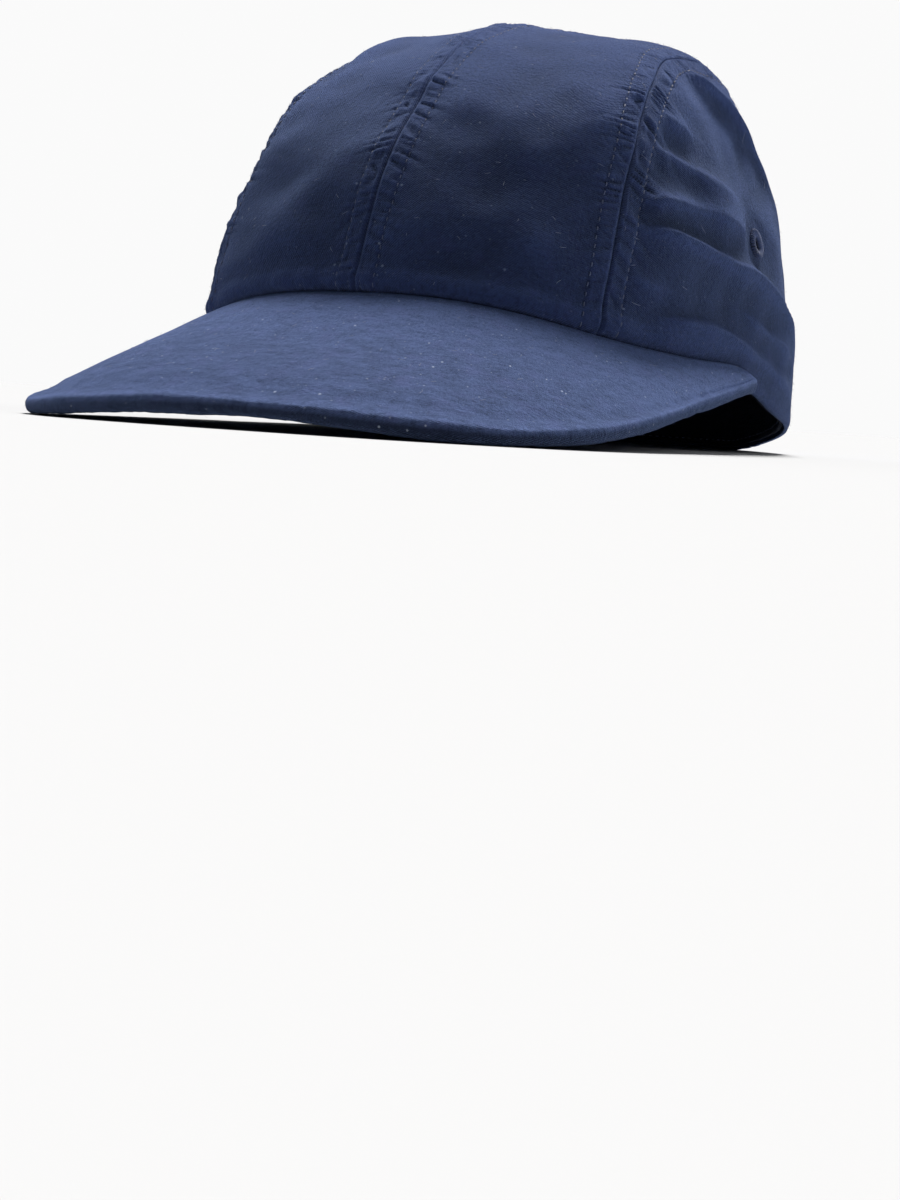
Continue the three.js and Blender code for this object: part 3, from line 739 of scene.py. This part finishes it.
def side_base():
    """A patch between the front of the seam, its top, its back and the rim."""
    front, back, x_at = strip_ends(1.0, SEAM_SLIT / 2)
    front, back = float(front), float(back)

    def seam_point(angle):
        return over_top(x_at(angle), angle)

    u = eased(SIDE_COLUMNS, 0.45)
    v = eased(SIDE_ROWS, 0.45)
    ends = plan_angle(seam_point(np.array([front, back])))
    top = seam_point(SEAM_FRONT_CORNER + (SEAM_BACK_CORNER - SEAM_FRONT_CORNER) * u)
    rim = above_rim(ends[0] + (ends[1] - ends[0]) * u, 0)
    fore = seam_point(SEAM_FRONT_CORNER + (front - SEAM_FRONT_CORNER) * v)
    aft = seam_point(SEAM_BACK_CORNER + (back - SEAM_BACK_CORNER) * v)
    u2, v2 = u[None, :, None], v[:, None, None]
    patch = (1 - v2) * top[None] + v2 * rim[None] + (1 - u2) * fore[:, None] + u2 * aft[:, None]
    patch -= (1 - u2) * (1 - v2) * fore[0] + (1 - u2) * v2 * rim[0]
    patch -= u2 * (1 - v2) * aft[0] + u2 * v2 * rim[-1]
    patch[:-1] = onto_dome(patch[:-1])
    return patch


def side_panel(side, word, material):
    base = side_base()
    on_rim = np.zeros(base.shape[:2], bool)
    on_rim[-1] = True
    panel_piece(f"side_panel_{word}_cloth", base, on_rim, side, material, pierced=True)


def strip_piece(name, base, relief, material):
    """A folded seam allowance that lies against the inside of the cloth along a seam."""
    normals = dome_normal(base)
    top = base + normals * (relief - CLOTH - ALLOWANCE_GAP)[..., None]
    low = base + normals * (relief - CLOTH - ALLOWANCE_GAP - ALLOWANCE_CLOTH)[..., None]
    loops = np.concatenate([top, low[:, ::-1]], axis=1)
    lofted_piece(name, loops, 0.0, material)


def above_band(base):
    """The rows of a strip that lie clear above the sweatband."""
    return base[rise_over_rim(base).min(1) > BAND_RISE + BAND_HEIGHT + BAND_CLEARANCE]


def seam_allowances(material):
    across = np.linspace(-1, 1, 13) * ALLOWANCE_REACH
    angles = np.linspace(MIDDLE_ANGLES[0], MIDDLE_ANGLES[-1], 450)
    # The strip's middle row stays just off the middle plane
    base = above_band(over_top(np.maximum(np.abs(across), 0.05)[None, :], angles[:, None]))
    relief = np.where(across < 0, crown_relief(base, -1), crown_relief(base, 1))
    base[..., 0] *= np.where(across < 0, -1, 1)
    strip_piece("seam_allowance_middle", base, relief, material)
    seam = SIDE_LINE.points[::6]
    sideways = normalised(np.cross(SIDE_LINE.tangent[::6], dome_normal(seam)))
    base = above_band(onto_dome(seam[:, None] + sideways[:, None] * across[None, :, None]))
    for side, word in ((1, "left"), (-1, "right")):
        strip_piece(f"seam_allowance_{word}", base * (side, 1, 1), crown_relief(base, side), material)


# Thread


def tube_rings(centres, normals, binormals, radii, sides):
    """Points and faces of many short capped tubes: centres (tubes, rings, 3)."""
    tubes, rings = centres.shape[:2]
    turn = 2 * np.pi * np.arange(sides) / sides
    around = np.cos(turn)[:, None] * normals[..., None, :] + np.sin(turn)[:, None] * binormals[..., None, :]
    points = centres[..., None, :] + around * radii[..., None, None]
    ids = np.arange(tubes * rings * sides).reshape(tubes, rings, sides)
    caps = ids[:, 0, ::-1].tolist() + ids[:, -1].tolist()
    fans = [[c[0], c[k], c[k + 1]] for c in caps for k in range(1, sides - 1)]
    return points.reshape(-1, 3), ring_quads(ids) + fans


def stitch_row(path, outwards, along=None, bulk=1.0):
    """Stitches laid end to end along a path on the cloth, spaced by its own length or by its seam's."""
    along = Line(path).along if along is None else along
    numbers = np.arange(math.ceil(along[0] / STITCH_PITCH), int(along[-1] / STITCH_PITCH))
    start = (numbers + STITCH_PHASE) * STITCH_PITCH
    shares = np.array([0, 0.18, 0.5, 0.82, 1])
    lifts = np.array([-0.2, 0.14, 0.22, 0.14, -0.2]) - 0.22 * (1 - bulk)
    at = start[:, None] + shares * STITCH_LENGTH
    centre = np.stack([np.interp(at, along, path[:, k]) for k in range(3)], -1)
    normal = normalised(np.stack([np.interp(at, along, outwards[:, k]) for k in range(3)], -1))
    tangent = normalised(np.gradient(centre, axis=1))
    binormal = normalised(np.cross(tangent, normal))
    centre = centre + normal * lifts[None, :, None]
    radii = np.broadcast_to(bulk * THREAD_RADIUS * np.array([0.55, 0.95, 1, 0.95, 0.55]), at.shape)
    return tube_rings(centre, normal, binormal, radii, 5)


def joined(parts):
    points, faces, first = [], [], 0
    for some_points, some_faces in parts:
        points.append(some_points)
        faces += [[k + first for k in f] for f in some_faces]
        first += len(some_points)
    return np.concatenate(points), faces


def stitching(side, word, material):
    """The stitch rows beside the middle seam and on both sides of the side seam."""
    angles = np.linspace(MIDDLE_ANGLES[0] + 0.012, MIDDLE_ANGLES[-1] - 0.012, SEAM_STEPS)
    along_middle = np.interp(angles, MIDDLE_ANGLES, MIDDLE_LINE.along)
    rows = [(over_top(0 * angles + STITCH_OFFSET, angles), along_middle, MIDDLE_STITCH_BULK)]
    seam = SIDE_LINE.points[6:-6]
    across = normalised(np.cross(SIDE_LINE.tangent[6:-6], dome_normal(seam)))
    for way in (-1, 1):
        rows.append((onto_dome(seam + way * STITCH_OFFSET * across), SIDE_LINE.along[6:-6], 1.0))
    parts = []
    for base, along, bulk in rows:
        normals = dome_normal(base)
        points, faces = stitch_row(base + normals * crown_relief(base, side)[..., None], normals, along, bulk)
        parts.append((points * (side, 1, 1), faces))
    make_piece(f"topstitching_{word}", *joined(parts), material, "navy_thread")


def eyelet(side, word, material):
    """Thread wound round a ring, as on a sewn eyelet."""
    steps = EYELET_TURNS * EYELET_STEPS
    t = np.arange(steps) / steps * 2 * np.pi
    wound = t * EYELET_TURNS
    draw = np.random.default_rng(21)
    uneven = 1 + 0.07 * draw.normal(size=EYELET_TURNS)[np.arange(steps) // EYELET_STEPS]
    first = normalised(np.cross(eyelet_out, (0, 0, 1.0)))
    second = np.cross(eyelet_out, first)
    radial = np.cos(t)[:, None] * first + np.sin(t)[:, None] * second
    ring = EYELET_RADIUS + EYELET_THREAD * uneven * np.cos(wound)
    lift = 0.35 + 0.62 * EYELET_THREAD * np.sin(wound)
    centre = eyelet_spot + radial * ring[:, None] + eyelet_out * lift[:, None]
    tangent = normalised(np.roll(centre, -1, 0) - np.roll(centre, 1, 0))
    normal = normalised(np.cross(tangent, eyelet_out + radial * 0.01))
    binormal = np.cross(tangent, normal)
    sides = 5
    radii = np.full((1, steps), EYELET_STRAND)
    points, _ = tube_rings(centre[None], normal[None], binormal[None], radii, sides)
    faces = ring_quads(ring_ids(steps, sides))
    points = points * (side, 1, 1)
    make_piece(f"eyelet_{word}_thread", points, faces, material, "navy_thread", [f"eyelet_{word}"])


# Peak


def clear_of_wall(p):
    wall = onto_dome(p)
    seat = wall + dome_normal(wall) * (SEAM_GAP + ROOT_CLEARANCE)
    inside = np.linalg.norm(p, axis=-1) < np.linalg.norm(seat, axis=-1)
    return np.where(inside[..., None], seat, p)


def peak_stations():
    """Along the peak's edge: its root on the crown, the edge, and the directions between them."""
    fraction = np.linspace(0, 1, PEAK_STATIONS)
    edge = peak_edge_at(fraction)
    plan = np.radians(-PEAK_ROOT_END + (-180 + 2 * PEAK_ROOT_END) * fraction)
    wall = above_rim(plan, INSET)
    wall_up = above_rim(plan, PEAK_THICKNESS) - above_rim(plan, 0)
    root = wall + dome_normal(wall) * (SEAM_GAP + ROOT_CLEARANCE)
    across = edge - root
    step = 1e-3
    along_edge = peak_edge_at(np.minimum(fraction + step, 1)) - peak_edge_at(np.maximum(fraction - step, 0))
    up = normalised(np.cross(along_edge, across))
    up = np.where(up[:, 2:] < 0, -up, up)
    out = normalised(across)
    lean = (wall_up * out).sum(1) / (wall_up * up).sum(1)
    width = np.linalg.norm(across, axis=1)
    hem = 1 - np.minimum(PEAK_HEM / width, WIDEST_HEM)[:, None]
    return {"root": root, "edge": edge, "up": up, "out": out, "lean": lean, "width": width, "hem": hem}


PEAK = peak_stations()


def peak_points(share, height):
    """Points of the peak by station, at shares of the way to the edge and heights off the middle."""
    share, height = np.broadcast_arrays(share, height)
    narrow = np.minimum(PEAK["width"] / PEAK_REACH, 1)[:, None]
    crowning = PEAK_CROWNING * 4 * share * (1 - share) * narrow
    p = PEAK["root"][:, None] + (PEAK["edge"] - PEAK["root"])[:, None] * share[..., None]
    p = p + PEAK["up"][:, None] * (height + crowning)[..., None]
    p = p + PEAK["out"][:, None] * (PEAK["lean"][:, None] * height * (1 - share))[..., None]
    return clear_of_wall(p)


def lofted_piece(name, loops, crease, material, replaces=()):
    """A closed skin through section loops, capped at both ends."""
    count, size = loops.shape[:2]
    faces = ring_quads(np.arange(count * size).reshape(count, size))
    first, last = count * size, count * size + 1
    for k in range(size):
        after = (k + 1) % size
        faces.append([after, k, first])
        faces.append([first - size + k, first - size + after, last])
    points = np.concatenate([loops.reshape(-1, 3), [loops[0].mean(0), loops[-1].mean(0)]])
    data = lofted_cloth(loops, crease)
    data = np.concatenate([data.reshape(-1, 3), data[[0, -1], 0]])
    make_piece(name, points, faces, material, "navy_cotton", replaces, data)


def lofted_cloth(loops, crease):
    """Cloth data of a lofted skin: millimetres along it and round its section, and the crease."""
    along = running_sum(np.linalg.norm(np.diff(loops, axis=0), axis=2).max(1))
    steps = np.linalg.norm(np.diff(loops, axis=1), axis=2)
    round_it = np.concatenate([np.zeros((len(loops), 1)), np.cumsum(steps, axis=1)], axis=1)
    return np.stack(np.broadcast_arrays(along[:, None], round_it, crease), -1)


def peak_cover(material):
    hem = PEAK["hem"]
    rows = eased(TOP_ROWS, 0.3)[None, :]
    top = peak_points(rows, INSET)
    turn = np.pi / 2 - np.pi * np.arange(1, EDGE_ROWS) / EDGE_ROWS
    edge = peak_points(1.0, INSET * np.sin(turn)[None, :])
    edge = edge + PEAK["out"][:, None] * (INSET * np.cos(turn))[None, :, None]
    under = peak_points(1 + (hem - 1) * np.linspace(0, 1, HEM_ROWS)[None, :], -INSET)
    inner = peak_points(hem * np.linspace(1, 0, INNER_ROWS)[None, :], INSET - COVER_DEPTH)
    loops = np.concatenate([top, edge, under, inner], axis=1)
    row = np.arange(loops.shape[1])
    last_top = TOP_ROWS - 1
    first_under = last_top + EDGE_ROWS
    skin = first_under + HEM_ROWS
    visible = row < skin

    # Soft unevenness of the cloth over its stiffener, finer round the wrapped edge
    near_edge = smoothstep(row, TOP_ROWS - 24, TOP_ROWS - 8) * visible
    wave = 0.13 * ripple(loops, 42, 31) + 0.03 * ripple(loops, 13, 32)
    wave = wave + near_edge * (0.03 * ripple(loops, 9, 33) + 0.04 * ripple(loops, 3.2, 34))
    tip = np.minimum(np.arange(PEAK_STATIONS), PEAK_STATIONS - 1 - np.arange(PEAK_STATIONS))
    wave = wave - 0.5 * (bell(tip - TIP_CREASE, 2.2)[:, None] * near_edge)
    from_edge = normalised(loops - PEAK["edge"][:, None] + 1e-9)
    outwards = np.where((row < TOP_ROWS)[None, :, None], PEAK["up"][:, None], from_edge)
    outwards[:, first_under:] = -PEAK["up"][:, None]
    lip = 0.3 * bell(row - last_top, 2.6)
    dip = -0.34 * bell(row - (TOP_ROWS - 7), 2.6)
    amount = (smoothstep(row, 0, 8) * visible)[None, :] * (wave + lip + dip)
    loops = loops + outwards * (amount * smoothstep(tip, 0, 6)[:, None])[..., None]
    NAP_GROUND.append((loops[3:-3, 6:skin].reshape(-1, 3), normalised(outwards[3:-3, 6:skin]).reshape(-1, 3)))

    # Painted shade in the root, in the hem's seam and on the edge's face below the lip; the lip painted
    # paler, partly as wear and partly as a painted highlight; painted light on the top towards the crown
    crease = np.zeros(loops.shape[:2])
    crease[:, skin - 3 : skin] = 0.7
    crease[:, :3] = 0.5
    crease = crease - 0.3 * bell(row - last_top, 1.8)[None, :]
    crease += 0.95 * smoothstep(row, TOP_ROWS + 1, TOP_ROWS + 6)[None, :]
    crease[:, :TOP_ROWS] -= 0.34 * (1 - smoothstep(rows * PEAK["width"][:, None], 14, 46))
    lofted_piece("peak_cover_cloth", loops, crease, material, ["peak_cover"])


def peak_underside(material):
    limit = PEAK["hem"] - SEAM_GAP / PEAK["width"][:, None]
    outward = limit * np.linspace(0, 1, UNDERSIDE_ROWS)[None, :]
    upper = peak_points(outward[:, ::2], INSET - COVER_DEPTH - SEAM_GAP)
    lower = peak_points(outward[:, ::-1], -INSET)
    sag = 0.18 * ripple(lower, 24, 36) + 0.08 * ripple(lower, 8, 37)
    lower = lower + PEAK["up"][:, None] * (0.25 - np.abs(sag))[..., None]
    loops = np.concatenate([upper, lower], axis=1)
    # Painted shade along the hem's seam
    crease = np.zeros(loops.shape[:2])
    crease[:, upper.shape[1] : upper.shape[1] + 2] = 0.7
    lofted_piece("peak_underside_cloth", loops, crease, material, ["peak_underside"])


def band_faces(plan, rise):
    """The sweatband's outer and inner points at a height above the rim, and the normals there."""
    p = above_rim(plan, rise)
    outwards = dome_normal(p)
    wave = 0.12 * ripple(p, 9, 51)
    inner = p - outwards * (BAND_SETBACK + BAND_WALL + 0.1 + wave)[:, None]
    return p - outwards * BAND_SETBACK, inner, outwards


def sweatband(material, thread):
    plan = 2 * np.pi * np.arange(BAND_STEPS) / BAND_STEPS
    rises = np.linspace(BAND_RISE, BAND_RISE + BAND_HEIGHT, BAND_ROWS)
    outer, inner, _ = zip(*(band_faces(plan, rise) for rise in rises))
    loops = np.stack([*outer, *inner[::-1]], 1)
    faces = ring_quads(ring_ids(BAND_STEPS, loops.shape[1]))
    data = lofted_cloth(loops, 0.0).reshape(-1, 3)
    make_piece("sweatband_cloth", loops.reshape(-1, 3), faces, material, "dark_band", ["sweatband"], data)
    rows = []
    for rise in BAND_STITCHES:
        _, inner, outwards = band_faces(np.append(plan, 2 * np.pi), BAND_RISE + rise)
        rows.append(stitch_row(inner, -outwards))
    make_piece("sweatband_stitching", *joined(rows), thread, "navy_thread")


def lint_fibres(material):
    """Short loose fibres that lie on the crown and the peak."""
    draw = np.random.default_rng(77)
    parts = []
    for number in range(FIBRES):
        length = draw.uniform(0.7, 2.3)
        turn, bow = draw.uniform(0, 2 * np.pi), draw.uniform(-0.5, 0.5)
        t = np.linspace(-0.5, 0.5, 6)
        flat = np.stack([length * t, bow * length * (0.25 - t * t)], -1)
        spin = np.array([[math.cos(turn), -math.sin(turn)], [math.sin(turn), math.cos(turn)]])
        flat = flat @ spin.T
        side = 1 if number % 2 else -1
        if number % 3 == 0:
            middle = draw.integers(60, PEAK_STATIONS - 60)
            station = middle + flat[:, 0] * 1.1
            share = np.clip(draw.uniform(0.15, 0.9) + flat[:, 1] / PEAK_REACH, 0.02, 0.95)
            grid = peak_points(share[None, :], INSET + 0.35)
            low = station.astype(int)
            mix = (station - low)[:, None]
            column = np.arange(len(share))
            path = grid[low, column] * (1 - mix) + grid[low + 1, column] * mix
            up = np.broadcast_to(PEAK["up"][middle], path.shape)
        else:
            angle = draw.uniform(0.25, 2.6) + flat[:, 0] / 105
            x = draw.uniform(4, 74) + flat[:, 1]
            base = over_top(np.clip(x, 1, 80), angle)
            up = dome_normal(base)
            path = (base + up * (crown_relief(base, side) + 0.12)[:, None]) * (side, 1, 1)
            up = up * (side, 1, 1)
        across = normalised(np.cross(np.gradient(path, axis=0), up))
        radii = FIBRE_RADIUS * np.array([0.4, 0.9, 1, 1, 0.9, 0.4])
        parts.append(tube_rings(path[None], up[None], across[None], radii[None], 4))
    make_piece("lint_fibres", *joined(parts), material, "navy_thread")


def nap_fibres(material):
    """The brushed cloth's short raised fibres."""
    draw = np.random.default_rng(91)
    points = np.concatenate([some for some, _ in NAP_GROUND])
    normals = np.concatenate([some for _, some in NAP_GROUND])
    chosen = draw.integers(0, len(points), NAP_FIBRES)
    points, normals = points[chosen, None], normals[chosen, None]
    lean = normalised(np.cross(normals, draw.normal(size=normals.shape)))
    length = draw.uniform(0.35, 1.0, (NAP_FIBRES, 1, 1))
    s = np.array([0, 0.5, 1])[None, :, None]
    centre = points + length * (normals * (0.7 * s - 0.06) + lean * 0.85 * s * s)
    direction = np.gradient(centre, axis=1)
    across = normalised(np.cross(direction, lean + 0 * centre))
    other = normalised(np.cross(direction, across))
    radii = np.broadcast_to(NAP_RADIUS * np.array([1, 0.8, 0.3]), (NAP_FIBRES, 3))
    make_piece("nap_fibres", *tube_rings(centre, across, other, radii, 3), material, "navy_thread")


# Materials


class Nodes:
    """A short way to write a material's nodes."""

    def __init__(self, name):
        self.material = bpy.data.materials.new(name)
        self.material.use_nodes = True
        self.tree = self.material.node_tree
        self.shader = self.tree.nodes["Principled BSDF"]

    def fill(self, node, inputs):
        for key, value in inputs.items():
            if isinstance(value, bpy.types.NodeSocket):
                self.tree.links.new(value, node.inputs[key])
            else:
                node.inputs[key].default_value = value

    def add(self, kind, inputs=None, **settings):
        node = self.tree.nodes.new(kind)
        for key, value in settings.items():
            setattr(node, key, value)
        self.fill(node, inputs or {})
        return node

    def finished(self, inputs):
        self.fill(self.shader, inputs)
        return self.material

    def math(self, operation, a, b=0.0, clamp=False):
        return self.add("ShaderNodeMath", {0: a, 1: b}, operation=operation, use_clamp=clamp).outputs[0]

    def plus(self, total, value, share, clamp=False):
        """total + value * share."""
        return self.math("ADD", total, self.math("MULTIPLY", value, share), clamp)

    def noise(self, vector, scale, detail=2.0, roughness=0.5):
        inputs = {"Vector": vector, "Scale": scale, "Detail": detail, "Roughness": roughness}
        return self.add("ShaderNodeTexNoise", inputs).outputs["Fac"]

    def scaled(self, vector, scale, turn=0.0):
        inputs = {"Vector": vector, "Scale": scale, "Rotation": (0, 0, turn)}
        return self.add("ShaderNodeMapping", inputs).outputs[0]

    def mix(self, factor, a, b):
        return self.add("ShaderNodeMix", {0: factor, 6: a, 7: b}, data_type="RGBA").outputs[2]

    def remap(self, value, low, high, to_low=0.0, to_high=1.0):
        inputs = {0: value, 1: low, 2: high, 3: to_low, 4: to_high}
        return self.add("ShaderNodeMapRange", inputs).outputs[0]

    def cells(self, vector, scale, channel):
        """Scattered cells: the distance from each one's middle, and its own random value."""
        node = self.add("ShaderNodeTexVoronoi", {"Vector": vector, "Scale": scale, "Randomness": 1.0})
        drawn = self.add("ShaderNodeSeparateColor", {0: node.outputs["Color"]}).outputs[channel]
        return node.outputs["Distance"], drawn

    def bump(self, strength, distance, height):
        inputs = {"Strength": strength, "Distance": distance, "Height": height}
        return self.add("ShaderNodeBump", inputs).outputs[0]


def colour(rgb):
    """A linear colour from sRGB bytes."""
    return (*(((v / 255 + 0.055) / 1.055) ** 2.4 for v in rgb), 1)


def tinted(base, shares):
    """A linear colour with its channels scaled."""
    return (*np.minimum(np.multiply(base[:3], shares), 1), 1)


def cotton(name, dark, light, lint, sheen, linty, cloudy=0.13, streak=(1.0, 0.6, 1)):
    """Brushed cotton twill: fine ribs, uneven yarn, mottled dye and specks of lint, with ridges painted paler
    as part wear and part painted highlight, creases painted darker as painted shade, and the top painted
    paler as painted light.
    """
    n = Nodes(name)
    dark, light, lint = colour(dark), colour(light), colour(lint)
    cloth = n.add("ShaderNodeAttribute", attribute_name="cloth", attribute_type="GEOMETRY").outputs["Vector"]
    split = n.add("ShaderNodeSeparateXYZ", {0: cloth})
    crease = split.outputs[2]
    flat = n.add("ShaderNodeCombineXYZ", {0: split.outputs[0], 1: split.outputs[1]}).outputs[0]
    place = n.add("ShaderNodeTexCoord").outputs["Object"]

    slanted = n.scaled(flat, (1, 1, 1), math.radians(52))
    wave = {"Vector": slanted, "Scale": 0.62, "Distortion": 1.2, "Detail": 2.0, "Detail Scale": 1.2}
    ribs = n.add("ShaderNodeTexWave", wave, bands_direction="X").outputs["Fac"]
    yarn = n.noise(n.scaled(flat, (0.3, 1.8, 1)), 1.1, 3.0, 0.7)
    cross_yarn = n.noise(n.scaled(flat, (1.9, 0.28, 1)), 1.0, 3.0, 0.7)
    nap = n.noise(flat, 2.4, 5.0, 0.75)
    brushed = n.noise(flat, 0.75, 4.0, 0.7)
    clouded = n.noise(n.scaled(flat, streak), 0.3, 4.0, 0.65)
    mottle = n.noise(place, 38.0, 4.0, 0.6)
    patches = n.noise(place, 11.0, 2.0, 0.5)

    tone = 0.0
    for value, low, high, share in (
        (mottle, 0.3, 0.7, 0.11),
        (patches, 0.3, 0.7, 0.07),
        (clouded, 0.33, 0.67, cloudy),
        (brushed, 0.33, 0.67, 0.36),
        (yarn, 0.3, 0.7, 0.22),
        (cross_yarn, 0.3, 0.7, 0.24),
        (nap, 0.35, 0.7, 0.28),
    ):
        tone = n.plus(tone, n.remap(value, low, high), share)
    # Painted light: the cloth is painted paler with height, towards the top, standing in for the light that
    # falls on it from above
    height = n.add("ShaderNodeSeparateXYZ", {0: place}).outputs[2]
    painted_top_light_mask = n.math("MULTIPLY", n.remap(height, 0.078, 0.13), n.remap(mottle, 0.3, 0.7, 0.7, 1.0))
    tone = n.plus(tone, painted_top_light_mask, 0.42)
    tone = n.math("SUBTRACT", tone, 0.155 + 0.5 * cloudy)
    # Crests painted paler: partly wear, partly a painted highlight
    wear_and_crest_highlight = n.remap(crease, -0.02, -0.4)
    tone = n.plus(tone, wear_and_crest_highlight, n.remap(brushed, 0.3, 0.7, 0.15, 0.6), clamp=True)
    base = n.mix(tone, dark, light)
    # Painted light: the top is also painted towards a paler copy of the light colour
    painted_lighter = n.math("MULTIPLY", painted_top_light_mask, n.remap(brushed, 0.3, 0.7, 0.2, 0.8))
    base = n.mix(painted_lighter, base, tinted(light, PAINTED_TOP_LIGHT))
    purple = n.remap(n.noise(place, 170.0, 3.0, 0.6), 0.5, 0.75, 0.0, 0.35)
    base = n.mix(purple, base, tinted(light, (1.12, 0.86, 1.0)))
    # Painted shade: creases painted darker
    base = n.mix(n.remap(crease, 0.03, 0.9, 0.0, 0.85), base, tinted(dark, 0.25))

    # Few large specks of lint and many small ones
    distance, drawn = n.cells(flat, 0.17, 0)
    chosen = n.remap(drawn, 0.67 - 0.34 * linty, 0.92 - 0.34 * linty)
    speck = n.math("MULTIPLY", n.remap(distance, 0.085, 0.035), chosen, clamp=True)
    distance, drawn = n.cells(flat, 0.5, 1)
    dot = n.math("MULTIPLY", n.remap(distance, 0.17, 0.08), n.remap(drawn, 0.6, 1.0, 0.0, 0.7))
    speck = n.math("MAXIMUM", speck, dot)
    base = n.mix(n.math("MULTIPLY", speck, linty), base, lint)

    relief = 0.0
    for value, share in ((ribs, 0.2), (yarn, 0.4), (cross_yarn, 0.45), (nap, 0.6), (brushed, 1.1)):
        relief = n.plus(relief, value, share)
    return n.finished({
        "Base Color": base,
        "Roughness": n.remap(nap, 0.3, 0.8, 0.88, 1.0),
        "Specular IOR Level": 0.12,
        "Sheen Weight": sheen,
        "Sheen Roughness": 0.5,
        "Sheen Tint": (0.36, 0.52, 1.0, 1),
        "Normal": n.bump(0.8, 0.0008, relief),
    })


def sewing_thread(name, dark, light, rough=0.55, shine=0.5):
    """Spun thread with its own fine strands, worn paler in places."""
    n = Nodes(name)
    place = n.add("ShaderNodeTexCoord").outputs["Object"]
    strands = n.noise(n.scaled(place, (1, 1, 1), 0.6), 2600.0, 2.0, 0.5)
    wear_and_crest_highlight = n.noise(place, 90.0, 2.0, 0.5)
    tone = n.plus(n.math("MULTIPLY", strands, 0.5), n.remap(wear_and_crest_highlight, 0.35, 0.65), 0.6, clamp=True)
    return n.finished({
        "Base Color": n.mix(tone, colour(dark), colour(light)),
        "Roughness": rough,
        "Specular IOR Level": shine,
        "Sheen Weight": 0.25,
        "Normal": n.bump(0.5, 0.0001, strands),
    })


# Camera, floor and light


def place_camera():
    data = bpy.data.cameras.new("camera")
    data.sensor_fit = "AUTO"
    data.sensor_width = SENSOR
    data.lens = SENSOR * FOCAL_PX / PHOTO_HEIGHT
    data.clip_start = 0.002
    data.clip_end = 50
    camera = bpy.data.objects.new("camera", data)
    bpy.context.scene.collection.objects.link(camera)
    at, aim = Vector(CAMERA_AT), Vector(CAMERA_AIM)
    forward = (aim - at).normalized()
    right = forward.cross(Vector((0, 0, 1))).normalized()
    up = right.cross(forward)
    level = Matrix((right, up, -forward)).transposed()
    rolled = level @ Matrix.Rotation(CAMERA_ROLL, 3, "Z")
    seen = Vector(((AIM_PX[0] - PHOTO_WIDTH / 2), -(AIM_PX[1] - PHOTO_HEIGHT / 2), -FOCAL_PX)).normalized()
    turn = seen.rotation_difference(Vector((0, 0, -1))).to_matrix()
    camera.matrix_world = Matrix.Translation(at) @ (rolled @ turn).to_4x4()
    bpy.context.scene.camera = camera


def soft_light(name, azimuth, elevation, spread, strength, tint):
    """A large even light from far off, so that the floor is as bright all over."""
    data = bpy.data.lights.new(name, "SUN")
    data.angle = math.radians(spread)
    data.energy = strength
    data.color = tint
    lamp = bpy.data.objects.new(name, data)
    a, e = math.radians(azimuth), math.radians(elevation)
    towards = Vector((math.sin(a) * math.cos(e), -math.cos(a) * math.cos(e), math.sin(e)))
    lamp.rotation_mode = "QUATERNION"
    lamp.rotation_quaternion = towards.to_track_quat("Z", "Y")
    bpy.context.scene.collection.objects.link(lamp)


def studio():
    world = bpy.data.worlds.new("studio")
    bpy.context.scene.world = world
    world.use_nodes = True
    tree = world.node_tree
    surround = tree.nodes["Background"]
    surround.inputs["Color"].default_value = (0.86, 0.92, 1.0, 1)
    surround.inputs["Strength"].default_value = 0.08
    seen = tree.nodes.new("ShaderNodeBackground")
    seen.inputs["Color"].default_value = (0.958, 0.958, 0.958, 1)
    seen.inputs["Strength"].default_value = 1.0
    ray = tree.nodes.new("ShaderNodeLightPath")
    both = tree.nodes.new("ShaderNodeMixShader")
    tree.links.new(ray.outputs["Is Camera Ray"], both.inputs[0])
    tree.links.new(surround.outputs[0], both.inputs[1])
    tree.links.new(seen.outputs[0], both.inputs[2])
    tree.links.new(both.outputs[0], tree.nodes["World Output"].inputs[0])

    soft_light("top_light", -168, 56, 22, 5.2, (1, 0.99, 0.98))
    soft_light("left_light", -118, 32, 40, 0.2, (0.95, 0.97, 1))
    soft_light("right_light", 112, 38, 40, 0.42, (0.95, 0.97, 1))

    floor_mesh = bpy.data.meshes.new("floor")
    corners = [(x * FLOOR_REACH, y * FLOOR_REACH, 0) for x, y in ((-1, -1), (1, -1), (1, 1), (-1, 1))]
    floor_mesh.from_pydata(corners, [], [(0, 1, 2, 3)])
    floor = bpy.data.objects.new("floor", floor_mesh)
    paint = {"Base Color": (0.62, 0.62, 0.62, 1), "Roughness": 1.0, "Specular IOR Level": 0.0}
    floor_mesh.materials.append(Nodes("floor_paint").finished(paint))
    bpy.context.scene.collection.objects.link(floor)
    bpy.context.scene.view_settings.view_transform = "Standard"


place_camera()
studio()

navy = cotton("navy_cotton", (15, 22, 45), (50, 64, 108), (150, 165, 195), 0.44, 0.5)
# Painted light: the peak's cloth is a paler copy of the navy cotton, standing in for the brighter light on
# the peak
painted_lighter = cotton("painted_lighter_cotton", (23, 33, 62), (98, 116, 166), (195, 207, 228), 0.55, 1.0, 0.5, (0.45, 1.0, 1))
band = cotton("dark_band", (14, 16, 24), (30, 33, 44), (90, 96, 110), 0.15, 0.4)
thread = sewing_thread("navy_thread", (46, 57, 92), (100, 114, 155))
eyelet_thread = sewing_thread("eyelet_thread", (38, 50, 84), (80, 95, 138), 0.85, 0.15)
nap = sewing_thread("nap_fibre", (48, 60, 96), (92, 106, 148))
fibre = sewing_thread("lint_fibre", (98, 112, 148), (150, 163, 195))

for side, word in ((1, "left"), (-1, "right")):
    centre_panel(side, word, navy)
    side_panel(side, word, navy)
    stitching(side, word, thread)
    eyelet(side, word, eyelet_thread)
seam_allowances(navy)
peak_cover(painted_lighter)
peak_underside(navy)
lint_fibres(fibre)
nap_fibres(nap)
sweatband(band, thread)
